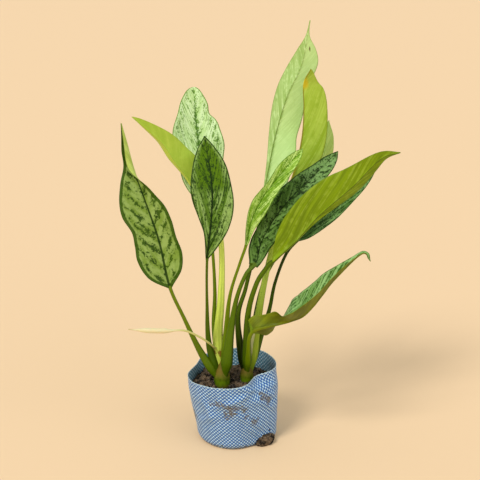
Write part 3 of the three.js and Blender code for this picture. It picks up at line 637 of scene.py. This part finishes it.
def stalk_rings(leaf, across):
    """Rings of the stalk, each from left to right above and back below, and their maps."""
    spine = leaf["spine"]
    end = leaf["start"] / (len(spine) - 1)
    *_, whole = along_curve(spine, 0, end, [1])
    share = np.linspace(0, 1 - JOIN_LENGTH / whole, STALK_ROWS)
    point, ahead, _ = along_curve(spine, 0, end, share)
    right, up = frames_across(ahead, leaf["face"], np.full(STALK_ROWS, float(leaf["roll"][0])))
    foot, neck = leaf["stalk"]
    radius = lerp(foot, neck, ease(share, 0, 0.8))
    radius = radius * lerp(FOOT_SHRINK, 1, ease(share * whole, 0, FOOT_LENGTH))
    radius = radius * (1 + SHEATH_SWELL * (1 - ease(share * whole, FOOT_LENGTH, SHEATH_LENGTH)))
    angle = np.pi * (len(across) - 0.5 - np.arange(2 * len(across))) / len(across)
    depth, spread = CHANNEL
    channel = depth * np.exp(-((angle - np.pi / 2) / spread) ** 2)[None, :] * ease(share, 0.1, 0.5)[:, None]
    reach = radius[:, None] * (1 - channel)
    rings = about(point, right, up, reach * np.cos(angle), STALK_HEIGHT * reach * np.sin(angle))
    share, side = share[:, None], np.cos(angle)
    return rings, pairs(share, side), pairs(share * whole / 10, side * radius[:, None] / 10)


def half_width(outline, u):
    """The half width at shares u of the blade's length, on a smooth curve through the outline's points."""
    outline = {0: BASE_HALF_WIDTH, 100: TIP_HALF_WIDTH} | outline
    x, y = np.array(sorted(outline.items()), float).T
    x = x / 100
    chord = np.diff(y) / np.diff(x)
    slope = np.r_[chord[0], (y[2:] - y[:-2]) / (x[2:] - x[:-2]), chord[-1]]
    i = np.clip(np.searchsorted(x, u, side="right") - 1, 0, len(x) - 2)
    step = x[i + 1] - x[i]
    t = (u - x[i]) / step
    early, late = (1 - t) ** 2, t ** 2
    value = y[i] * early * (1 + 2 * t) + y[i + 1] * late * (3 - 2 * t)
    return np.maximum(value + step * t * (1 - t) * (slope[i] * (1 - t) - slope[i + 1] * t), TIP_HALF_WIDTH)


def blade_rings(leaf, across, seed):
    """Rings of the blade in the same order, with a groove above the midrib and a rib below it."""
    spine = leaf["spine"]
    base_roll, tip_roll, roll_from, roll_to = leaf["roll"]
    wave, waves, *phases = leaf["wave"]
    tucked, more_fold, more_curl, *tuck_span = leaf["tuck"]
    u = np.linspace(0, 1, LEAF_ROWS)
    point, ahead, length = along_curve(spine, leaf["start"] / (len(spine) - 1), 1, u)
    right, up = frames_across(ahead, leaf["face"], lerp(base_roll, tip_roll, ease(u, roll_from, roll_to)))
    upper = np.empty((LEAF_ROWS, len(across), 3))
    lower = np.empty_like(upper)
    out_mm = np.empty((LEAF_ROWS, len(across)))
    for j, v in enumerate(across):
        side, sign, s = int(v > 0), np.sign(v), abs(v)
        fold, curl = np.radians(leaf["fold"][side]), np.radians(leaf["curl"][side])
        if tucked == side:
            turn = ease(u, *tuck_span)
            fold, curl = fold + np.radians(more_fold) * turn, curl + np.radians(more_curl) * turn
        phase = 2 * np.pi * waves * u + phases[side]
        scallop = 1 + SCALLOP * wave * np.sin(phase + 1.6) * ease(1 - u, 0, 0.3)
        width = half_width(leaf["right"] if side else leaf["left"], u) * scallop
        ripple = wave * s ** 1.6 * np.sin(phase) * ease(0.3 + u / 0.12, 0, 1) * ease(1 - u, 0, 0.15)
        out = width * (np.sin(fold + curl * s) - np.sin(fold)) / curl
        rise = width * (np.cos(fold) - np.cos(fold + curl * s)) / curl + ripple
        back = leaf["lobe"] * s ** 2 * np.maximum(0, 1 - u / 0.25) ** 2
        middle = point + right * (sign * out)[:, None] + up * rise[:, None] - ahead * back[:, None]
        slope = (fold + curl * s) * (s > 0) * np.ones(LEAF_ROWS)
        normal = up * np.cos(slope)[:, None] - right * (sign * np.sin(slope))[:, None]
        reach = width * s
        out_mm[:, j] = reach * sign
        vein = u * length - reach * (VEIN_SLANT + VEIN_BEND * reach)
        quilt = QUILT * np.cos(2 * np.pi * vein / VEIN_PITCH) * np.sin(np.pi * min(1, s * 1.1)) * (s > 0)
        half = HALF_THICKNESS[0] - HALF_THICKNESS[1] * s ** 2
        groove = MIDRIB_GROOVE[0] * np.exp(-(reach / MIDRIB_GROOVE[1]) ** 2)
        rib = leaf["stalk"][1] * (0.8 * (1 - u) ** 4 + 0.2 * (1 - u))
        foot = RIB_FOOT[0] * np.exp(-(reach / RIB_FOOT[1]) ** 2)
        under = np.sqrt(np.maximum(0, rib ** 2 - reach ** 2)) + foot
        upper[:, j] = middle + normal * (half + quilt - groove)[:, None]
        lower[:, j] = middle - normal * (half - quilt + under)[:, None]
    rings = np.concatenate([upper, lower[:, ::-1]], 1)
    rings = rings + UNEVEN * wobble(rings * 0.03, 1, seed)[..., None] * np.array([0, 1, 0.4])
    u, both = u[:, None], np.concatenate([across, across[::-1]])
    return rings, pairs(u, both), pairs(u * length / 10, np.concatenate([out_mm, out_mm[:, ::-1]], 1) / 10)


def make_leaf(name, leaf, seed):
    steps = np.linspace(0, 1, LEAF_COLUMNS + 1)[1:] ** 1.35
    across = np.concatenate([-steps[::-1], [0], steps])
    parts = [stalk_rings(leaf, across), blade_rings(leaf, across, seed)]
    rings, blade, vein = (np.concatenate([part[k] for part in parts]) for k in range(3))
    rows, columns = rings.shape[:2]
    faces, row, column = grid_faces(rows, columns)
    ends = end_faces(rows, columns)
    corners = np.concatenate([faces.ravel(), *ends])
    maps = {"Blade": blade.reshape(-1, 2)[corners], "Vein": vein.reshape(-1, 2)[corners]}
    materials = [
        upper_face(name + "_upper", seed, *leaf["upper"].split(), **leaf["marks"]),
        under_face(name + "_under", seed, *leaf["under"].split(), **leaf["veins"]),
        stalk_skin(name + "_stalk", seed, *leaf["skin"].split(), **leaf["fibres"]),
    ]
    on_top = column[:, 0] < len(across) - 1
    which = np.r_[np.where(row[:, 0] < STALK_ROWS, 2, np.where(on_top, 0, 1)), 2, 1]
    made = make_object(name + "_blade", rings.reshape(-1, 3), [*faces, *ends], maps, materials, which)
    install(made, leaf["slot"], name)


# ---- Grow bag ----

def away(angle, spot):
    """How far an angle is from the middle of a spot, in spreads."""
    turn = angle - math.radians(spot["angle"])
    return np.arctan2(np.sin(turn), np.cos(turn)) / math.radians(spot["spread"])


def bag_radius(angle, z):
    rise = z / BAG_HEIGHT
    foot = FOOT_DRAW * np.maximum(0, 1 - z / FOOT_ROUND) ** 2
    folds = FOLD_DEPTH * rise * np.cos(FOLDS * angle + 1)
    dent = sum(
        spot["depth"] * ease(z, BAG_HEIGHT - spot["height"], BAG_HEIGHT) * np.exp(-away(angle, spot) ** 2)
        for spot in DENTS
    )
    flat = FLAT["depth"] * (1 - rise) * np.exp(-away(angle, FLAT) ** 2)
    return lerp(BASE_RADIUS, RIM_RADIUS, rise ** 0.9) + folds - foot - dent - flat


def bag_point(angle, z, inset=0, share=1):
    """A point inside the bag's outer face by an inset, and at a share of the way out from the middle."""
    radius = (bag_radius(angle, z) - inset) * share
    x, y = RIM_OFFSET
    rise = z / BAG_HEIGHT
    return np.stack([x * rise + radius * np.cos(angle), y * rise + radius * np.sin(angle), z], -1)


def crease_lift(angle, z):
    """How far the creases raise the cloth at an angle and a height."""
    lift = np.zeros_like(z)
    arc = (BASE_RADIUS + RIM_RADIUS) / 2
    for a0, z0, a1, z1, height, width in CREASES:
        run = np.array([math.radians(a1 - a0) * arc, z1 - z0], float)
        turn = angle - math.radians(a0)
        x = np.arctan2(np.sin(turn), np.cos(turn)) * arc
        share = np.clip((x * run[0] + (z - z0) * run[1]) / (run @ run), 0, 1)
        gap = np.hypot(x - share * run[0], z - z0 - share * run[1])
        ends = np.sin(np.pi * np.clip(share, 0.05, 0.95)) ** 0.5
        lift += CREASE_LIFT * height * np.exp(-(gap / width) ** 2) * ends
    return lift


# Turns the lump's own directions into the part's
LUMP_SPIN = np.array([
    [math.cos(LUMP_TURN), -math.sin(LUMP_TURN), 0],
    [math.sin(LUMP_TURN), math.cos(LUMP_TURN), 0],
    [0, 0, 1],
])


def in_lump(points, grow):
    """Below 1 inside the lump of soil, when it is grown by some millimetres."""
    local = (points - LUMP_AT) @ LUMP_SPIN
    return ((local / (LUMP_SIZE + grow[:, None])) ** 2).sum(-1)


def blob(turn, height, spot):
    """A soft spot on the bag. The turn is in hundreds of degrees."""
    angle, level, wide, high = spot
    return distance((turn - angle / 100) * (100 / wide), (height - level) * (1 / high)).ease(1, 0.2)


# Stains of soil on the cloth: angle in degrees, height, and how far they reach round and up
STAINS = [(-113, 64, 13, 4), (-105, 67, 12, 4), (-96, 62, 10, 7), (-93, 55, 11, 11), (-85, 62, 15, 5),
          (-76, 57, 10, 5), (-99, 50, 7, 8), (-74, 46, 10, 4), (-62, 38, 11, 10), (-44, 69, 12, 10),
          (-35, 62, 10, 11), (120, 40, 30, 9), (30, 50, 20, 12), (-165, 35, 14, 14)]
INNER_STAIN = (10, 84, 55, 26)


def outer_stain(turn, height):
    total = height.ease(7, 0, 0, 0.95)
    for spot in STAINS:
        total = total.math("MAXIMUM", blob(turn, height, spot))
    return total


def inner_stain(turn, height):
    return height.ease(90, 72, 0, 0.5).math("MAXIMUM", blob(turn, height, INNER_STAIN) * 0.7)


# Colours of the dirt and of the hem, and for each face of the cloth: its pale and blue tapes, the painted
# shade in the gaps between them, haze, stains and seed
DUST = "7e684c"
CRUST = "281e12"
HEM = "b8d0d8"
CLOTH_LOOKS = {
    "outside": ("c8eaff", "0c64b8", "021e3c", 0.1, outer_stain, 1),
    # The inside is the same cloth as the outside; its paler tapes and gaps are painted light that lifts the
    # shade inside the bag.
    "inside": ("d6f2ff", "589ebe", "0e3046", 0.25, inner_stain, 2),
    "edge": ("e2f0f4", "bed6e2", "7892a0", 0.2, inner_stain, 3),
}


def woven(name, light, deep, gap, haze, stain, seed):
    """Plain weave of pale and blue tapes, with painted shade in the gaps between them, stains of soil and a
    pale hem at the rim.
    """
    s = Shader(name, light, 0.42, 0.5)
    u, v = s.uv("Weave")
    turn, height = s.uv("Place")
    cell_u, cell_v = u.math("FLOOR"), v.math("FLOOR")
    over = (cell_u + cell_v + 400).math("MODULO", 2).math("GREATER_THAN", 0.5)
    part_u = abs(u.math("FRACT") - 0.5)
    part_v = abs(v.math("FRACT") - 0.5)
    lying = s.node("Mix", {0: over, 2: part_u, 3: part_v})
    running = s.node("Mix", {0: over, 2: part_v, 3: part_u})
    each = s.noise((cell_u * 0.37, cell_v * 0.53, seed), 3, 1)
    s.paint(over, deep)
    s.paint(each.ease(0.35, 0.7, 0, 0.25), deep)
    wide, high = turn * 6, height * 0.1
    cloud = s.noise((wide, high, seed), 1.6, 5, 0.62, 0.4)
    shift = s.noise((wide, high, seed), 3.2, 3, 0.6)
    shift_up = s.noise((wide, high, seed + 20), 3.2, 3, 0.6)
    spots = stain(turn + (shift - 0.5) * 0.3, height + (shift_up - 0.5) * 18)
    speck = s.noise((wide, high, seed + 30), 22, 3, 0.7)
    dirty = (speck * 1.1 + spots * 0.6).ease(0.82, 1.04)
    s.paint(cloud.ease(0.5, 0.72) * haze, DUST)
    thread = s.noise((wide, high, seed), 9, 4, 0.6, 1.5)
    lines = abs(thread - 0.5).ease(0.07, 0.03).math("MAXIMUM", speck.ease(0.56, 0.62))
    cover = dirty * (over * 0.25 + (cloud * 0.7 + 0.3))
    s.paint(cover, s.mix(lines, DUST, CRUST))
    # Painted shade in the gaps along the tapes' edges; where the cloth is dirty the gaps take the crust
    # colour instead.
    gap_shade_and_crust = lying.ease(0.4, 0.5).math("MAXIMUM", running.ease(0.34, 0.5) * 0.8)
    s.paint(gap_shade_and_crust * 0.85, s.mix(dirty, gap, CRUST))
    hem_foot = RIM_TAPE - HEM_TAPES
    s.paint(v.ease(hem_foot, hem_foot + 0.15) * 0.75, HEM)
    return s.finish(lying.ease(0.5, 0.2) * running.ease(0.5, 0.1, 0.3, 1), 0.0006, 0.9)


def rim_height(angle):
    return BAG_HEIGHT + RIM_SLOPE[0] * np.cos(angle) + RIM_SLOPE[1] * np.sin(angle)


def cloth_side(angle, share):
    """The bag's side at angles and shares of its height: points, outward directions and heights."""
    tape = np.floor(angle / (2 * np.pi) * TAPES_ROUND * 2)
    fray = FRAY * np.sin(tape * 12.9898) * np.sin(tape * 4.1)  # uneven from tape to tape
    z = share[:, None] * (rim_height(angle) + fray)[None, :]
    angles = np.broadcast_to(angle[None, :], z.shape)
    points = bag_point(angles, z, -crease_lift(angles, z))
    crumple = wobble(points[:, :-1], 0.045, 3)
    crumple = np.concatenate([crumple, crumple[:, :1]], 1) * ease(z, 0, 12)
    outward = np.stack([np.cos(angles), np.sin(angles), np.zeros_like(z)], -1)
    return points + outward * (CRUMPLE * crumple)[..., None], outward, z


def cut_edges(kept):
    """The open edges of the kept cells of a grid: the two corners of each, and its cell."""
    columns = kept.shape[1]
    framed = np.pad(kept, ((1, 1), (0, 0)))
    to_corners = ((0, 0), (0, 1), (1, 1), (1, 0))
    to_neighbours = ((-1, 0), (0, 1), (1, 0), (0, -1))
    edges = []
    for i, j in np.argwhere(kept):
        corners = [(i + down) * columns + (j + right) % columns for down, right in to_corners]
        for n, (down, right) in enumerate(to_neighbours):
            if not framed[i + 1 + down, (j + right) % columns]:
                edges.append((corners[n], corners[(n + 1) % 4], (i, j)))
    return edges


def make_bag():
    angle = np.linspace(0, 2 * np.pi, BAG_COLUMNS + 1)
    share = np.linspace(0, 1, BAG_ROWS) ** 1.15
    side, outward, z = cloth_side(angle, share)
    base_share = np.linspace(BASE_HOLE, 1, BASE_ROWS, endpoint=False)
    base = side[0][None] * base_share[:, None, None]
    points = np.concatenate([base, side])
    pull = np.concatenate([np.zeros(BASE_ROWS), CLOTH * ease(share, 0, 0.06)])
    inner = points - np.concatenate([np.zeros_like(base), outward]) * pull[:, None, None]
    inner[:BASE_ROWS, :, 2] += CLOTH
    inner[BASE_ROWS:, :, 2] += (CLOTH * ease(-share, -0.06, 0))[:, None]

    rows = len(points)
    faces, row, column = grid_faces(rows, BAG_COLUMNS)
    centre = points[row, column].mean(1)
    kept = in_lump(centre, TEAR_MARGIN + 1.5 * wobble(centre, 0.5, 8)) > 1
    for hole_angle, hole_z, radius in HOLES:
        spot = bag_point(math.radians(hole_angle), hole_z)
        kept &= np.linalg.norm(centre - spot, axis=1) > radius
    edges = cut_edges(kept.reshape(rows - 1, BAG_COLUMNS))
    count = rows * BAG_COLUMNS
    verts = np.concatenate([points[:, :-1].reshape(-1, 3), inner[:, :-1].reshape(-1, 3)])
    edge_faces = [[b, a, a + count, b + count] for a, b, _ in edges]

    up = np.concatenate([-(1 - base_share) * BASE_RADIUS, share * BAG_HEIGHT]) / TAPE_PITCH
    weave = pairs(angle / (2 * np.pi) * TAPES_ROUND, up[:, None])
    turn = np.degrees(np.where(angle > np.pi, angle - 2 * np.pi, angle)) / 100
    heights = np.concatenate([np.zeros((BASE_ROWS, BAG_COLUMNS + 1)), z])
    maps = {}
    for key, values in (("Weave", weave), ("Place", pairs(turn, heights))):
        outer = values[row[kept], column[kept]]
        edge = np.array([[values[cell]] * 4 for _, _, cell in edges])
        maps[key] = np.concatenate([outer, outer[:, ::-1], edge]).reshape(-1, 2)

    materials = [woven("woven_" + face, *look) for face, look in CLOTH_LOOKS.items()]
    which = np.repeat([0, 1, 2], [kept.sum(), kept.sum(), len(edges)])
    all_faces = [*faces[kept], *(faces[kept][:, ::-1] + count), *edge_faces]
    made = make_object("woven_bag", verts, all_faces, maps, materials, which)
    install(made, "woven_plastic", "grow_bag")


# ---- Soil ----

def soil_skin():
    s = Shader("soil_clods", "1c150e", 0.95, 0.2)
    at = s.node("TexCoord", out=3)
    big = s.noise(at, 90, 4, 0.6)
    grain = s.noise(at, 700, 3, 0.7)
    s.paint(big.ease(0.42, 0.6), "7c664e")
    s.paint(grain.ease(0.56, 0.7), "a49686")
    s.paint(grain.ease(0.44, 0.32), "14100d")
    return s.finish(big * 2 + grain, 0.0016)


class Heap:
    """Loose meshes gathered into one."""

    def __init__(self):
        self.verts = []
        self.faces = []
        self.count = 0

    def add(self, verts, faces):
        self.verts.append(verts)
        self.faces += [face + self.count for face in faces]
        self.count += len(verts)


def ball(level):
    """A unit sphere's points and triangles."""
    bm = bmesh.new()
    bmesh.ops.create_icosphere(bm, subdivisions=level, radius=1)
    verts = np.array([v.co for v in bm.verts])
    faces = np.array([[v.index for v in f.verts] for f in bm.faces])
    bm.free()
    return verts, faces


def clod(verts, centre, size, rng, seed):
    """A rough lump of soil."""
    turn = np.array(Euler([rng.uniform(0, 6.28) for _ in range(3)]).to_matrix())
    rough = 1 + 0.28 * wobble(verts, 1.3, seed) + 0.12 * wobble(verts, 3.6, seed + 0.5)
    squash = np.array([1, rng.uniform(0.7, 1), rng.uniform(0.6, 0.85)])
    return (verts * rough[:, None] * squash) @ turn.T * size + centre


def soil_wall(angle, z, share=1):
    """Points of the soil against the cloth, which it gives way to where a crease pushes inwards."""
    return bag_point(angle, z, SOIL_INSET - np.minimum(crease_lift(angle, z), 0), share)


def soil_rings():
    """The soil's underside, its side and its rough top."""
    levels = np.r_[np.linspace(SOIL_FOOT, 12, 8), np.linspace(16, SOIL_TOP, 12)]
    share = np.linspace(1, 0.015, 60)[1:]
    angle = np.linspace(0, 2 * np.pi, SOIL_COLUMNS, endpoint=False)[None, :]
    side = soil_wall(*np.broadcast_arrays(angle, levels[:, None]))
    top = soil_wall(*np.broadcast_arrays(angle, np.full((len(share), 1), float(SOIL_TOP))), share[:, None])
    rough = 2.2 * wobble(top, 0.09, 4) + 1.3 * wobble(top, 0.25, 5) + 0.6 * wobble(top, 0.7, 6)
    top[..., 2] += rough * ease(1 - share, 0, 0.08)[:, None]
    bottom = side[0][None] * np.linspace(BASE_HOLE, 1, 6, endpoint=False)[:, None, None]
    bottom[..., 2] = SOIL_FOOT
    return np.concatenate([bottom, side, top])


def pile_top(heap, fine, plain, rng):
    """Clods on top of the soil."""
    middle = np.array([*RIM_OFFSET * SOIL_TOP / BAG_HEIGHT, SOIL_TOP])
    for i in range(TOP_CLODS):
        angle = rng.uniform(0, 2 * math.pi)
        size = rng.uniform(*(SMALL_CLODS if i % 3 else LARGE_CLODS))
        spread = math.sqrt(rng.uniform(0, 1))
        spot = middle + (bag_point(angle, SOIL_TOP, SOIL_INSET + size) - middle) * spread
        spot[2] += rng.uniform(-0.1, 0.35) * size + (1.5 if i % 9 == 0 else 0)
        verts, faces = fine if size > LARGE_CLODS[0] else plain
        heap.add(clod(verts, spot, size, rng, i + 1), faces)


def pile_lump(heap, plain, rng):
    """The soil that bulges out of the torn corner, with clods on it."""
    verts, faces = ball(5)
    rough = 1 + 0.07 * wobble(verts, 1.6, 2) + 0.06 * wobble(verts, 4, 3) + 0.035 * wobble(verts, 10, 4)
    lump = verts * rough[:, None] * LUMP_SIZE @ LUMP_SPIN.T + LUMP_AT
    lump[:, 2] = np.maximum(lump[:, 2], LUMP_FOOT)
    heap.add(lump, faces)
    for i in range(LUMP_CLODS):
        lean, bearing = math.asin(rng.uniform(-0.1, 0.9)), math.radians(rng.uniform(-120, 40))
        flat = math.cos(lean)
        way = np.array([flat * math.cos(bearing), flat * math.sin(bearing), math.sin(lean)])
        size = rng.uniform(*LUMP_CLOD_SIZES)
        spot = LUMP_SPIN @ (LUMP_SPIN.T @ way * (LUMP_SIZE - 0.4 * size)) + LUMP_AT
        spot[2] = max(spot[2], size * 1.3)
        heap.add(clod(plain[0], spot, size, rng, i + 0.5), plain[1])


def make_soil():
    rings = soil_rings()
    rows, columns = rings.shape[:2]
    heap = Heap()
    heap.add(rings.reshape(-1, 3), [*grid_faces(rows, columns)[0], *end_faces(rows, columns)])
    rng = random.Random(7)
    fine, plain = ball(3), ball(2)
    pile_top(heap, fine, plain, rng)
    pile_lump(heap, plain, rng)
    made = make_object("soil_filling", np.concatenate(heap.verts), heap.faces, {}, [soil_skin()])
    install(made, "soil", "soil")


# ---- Canes and flower ----

def make_tube(name, axis, radius_at, grid, material, seed=0, rough=0):
    """A round tube along a curve, with a little roughness if asked."""
    rows, columns = grid
    share = np.linspace(0, 1, rows)
    point, ahead, _ = along_curve(axis, 0, 1, share)
    right, up = frames_across(ahead, (1, 0.01, 0), np.zeros(rows))
    angle = np.linspace(0, 2 * np.pi, columns, endpoint=False)
    radius = radius_at(share)[:, None] * np.ones(columns)
    rings = about(point, right, up, radius * np.cos(angle), radius * np.sin(angle))
    if rough:
        rings = point[:, None] + (rings - point[:, None]) * (1 + rough * wobble(rings, 0.12, seed))[..., None]
    faces, row, column = grid_faces(rows, columns)
    corners = pairs(share[row], column / columns).reshape(-1, 2)
    maps = {"Blade": np.concatenate([corners, pairs(np.repeat([0, 1], columns), 0)])}
    return make_object(name, rings.reshape(-1, 3), [*faces, *end_faces(rows, columns)], maps, [material])


def cane_skin():
    s = Shader("cane_skin", "486000", 0.55, 0.12)
    along, around = s.uv("Blade")
    fibre = s.noise((along * 0.6, around * 1.2, 3), 9, 3, 0.6)
    scar = s.noise((along * 2.5, around * 0.8, 5), 2.2, 3, 0.6)
    s.paint(fibre.ease(0.35, 0.65), "627a02")
    s.paint(scar.ease(0.56, 0.66) * 0.6, "705c14")
    worn = along.ease(0.5, 0.72) * fibre.ease(0.3, 0.5, 0.45, 0.95)
    s.paint(worn, "766222")
    s.paint(along.ease(0.5, 0.36), "4e4618")
    return s.finish(fibre + scar, 0.0006, 0.6)


def make_canes():
    skin = cane_skin()
    for seed, (name, cane) in enumerate(CANES.items()):
        foot, head = cane["radius"]

        def radius(share, foot=foot, head=head):
            rings = CANE_RING * np.exp(-((share * CANE_SECTIONS % 1 - 0.5) / 0.12) ** 2)
            return lerp(foot, head, share ** 2) + rings - CANE_NARROWS * ease(share, 0.6, 1)

        made = make_tube(name + "_stem", cane["axis"], radius, CANE_GRID, skin, seed, 0.05)
        install(made, "cane", name)


def flower_skin():
    s = Shader("flower_skin", "c8c474", 0.55, 0.35)
    s.set("Subsurface Weight", 0.1)
    along, around = s.uv("Blade")
    fibre = s.noise((along * 2, around * 2, 2), 8, 2)
    s.paint(along.ease(0.45, 0.62), "e8d8a8")
    s.paint(fibre.ease(0.45, 0.7) * 0.4, "cec896")
    s.paint(along.ease(0.93, 1), "c4b078")
    return s.finish(fibre, 0.0003, 0.5)


def make_flower():
    def radius(share):
        swell = ease(share, FLOWER["spathe_from"], FLOWER["spathe_from"] + 0.12)
        close = ease(share, 0.8, 1)
        return lerp(lerp(FLOWER["stalk"], FLOWER["spathe"], swell), FLOWER["tip"], close)

    made = make_tube("flower_spathe", FLOWER["spine"], radius, FLOWER_GRID, flower_skin())
    install(made, "flower", "flower")


# ---- Camera, light and floor ----

CAMERA_PLACE = (3.3, -1354, 672.1)
CAMERA_TILT = 73.3  # degrees from straight down
LENS = 84.7
SENSOR = 36
SKY = ((0.95, 0.99, 1.0, 1), 0.62)  # colour, strength
# Suns: turn in degrees, strength, angle in degrees, colour
SUNS = {
    "key": ((42, 0, -38), 1.75, 20, (1.0, 0.99, 0.96)),
    "fill": ((60, 0, 50), 0.5, 60, (0.95, 0.98, 1.0)),
}
FLOOR_HALF = 20000


def place(thing, data):
    made = bpy.data.objects.new(thing, data)
    bpy.context.scene.collection.objects.link(made)
    return made


def make_camera():
    data = bpy.data.cameras.new("camera")
    data.sensor_width = SENSOR
    data.lens = LENS
    camera = place("camera", data)
    camera.location = Vector(CAMERA_PLACE) * MM
    camera.rotation_euler = Euler((math.radians(CAMERA_TILT), 0, 0))
    bpy.context.scene.camera = camera


def make_light():
    world = bpy.data.worlds.new("studio")
    world.use_nodes = True
    sky = world.node_tree.nodes["Background"].inputs
    sky["Color"].default_value, sky["Strength"].default_value = SKY
    bpy.context.scene.world = world
    for name, (turn, strength, angle, colour) in SUNS.items():
        data = bpy.data.lights.new(name, "SUN")
        data.energy = strength
        data.angle = math.radians(angle)
        data.color = colour
        place(name, data).rotation_euler = Euler([math.radians(a) for a in turn])


def make_floor():
    paint = Shader("floor_paint", "f0cfa6", 0.9, 0.1).finish()
    corners = [(x * FLOOR_HALF, y * FLOOR_HALF, 0) for x, y in ((-1, -1), (1, -1), (1, 1), (-1, 1))]
    make_object("floor", corners, [[0, 1, 2, 3]], {}, [paint], smooth=False)


make_camera()
make_light()
make_floor()
make_soil()
make_bag()
make_canes()
for number, (leaf_name, leaf_shape) in enumerate(LEAVES.items(), 1):
    make_leaf(leaf_name, PLAIN_LEAF | leaf_shape, number)
make_flower()
bpy.context.scene.view_settings.view_transform = "Standard"
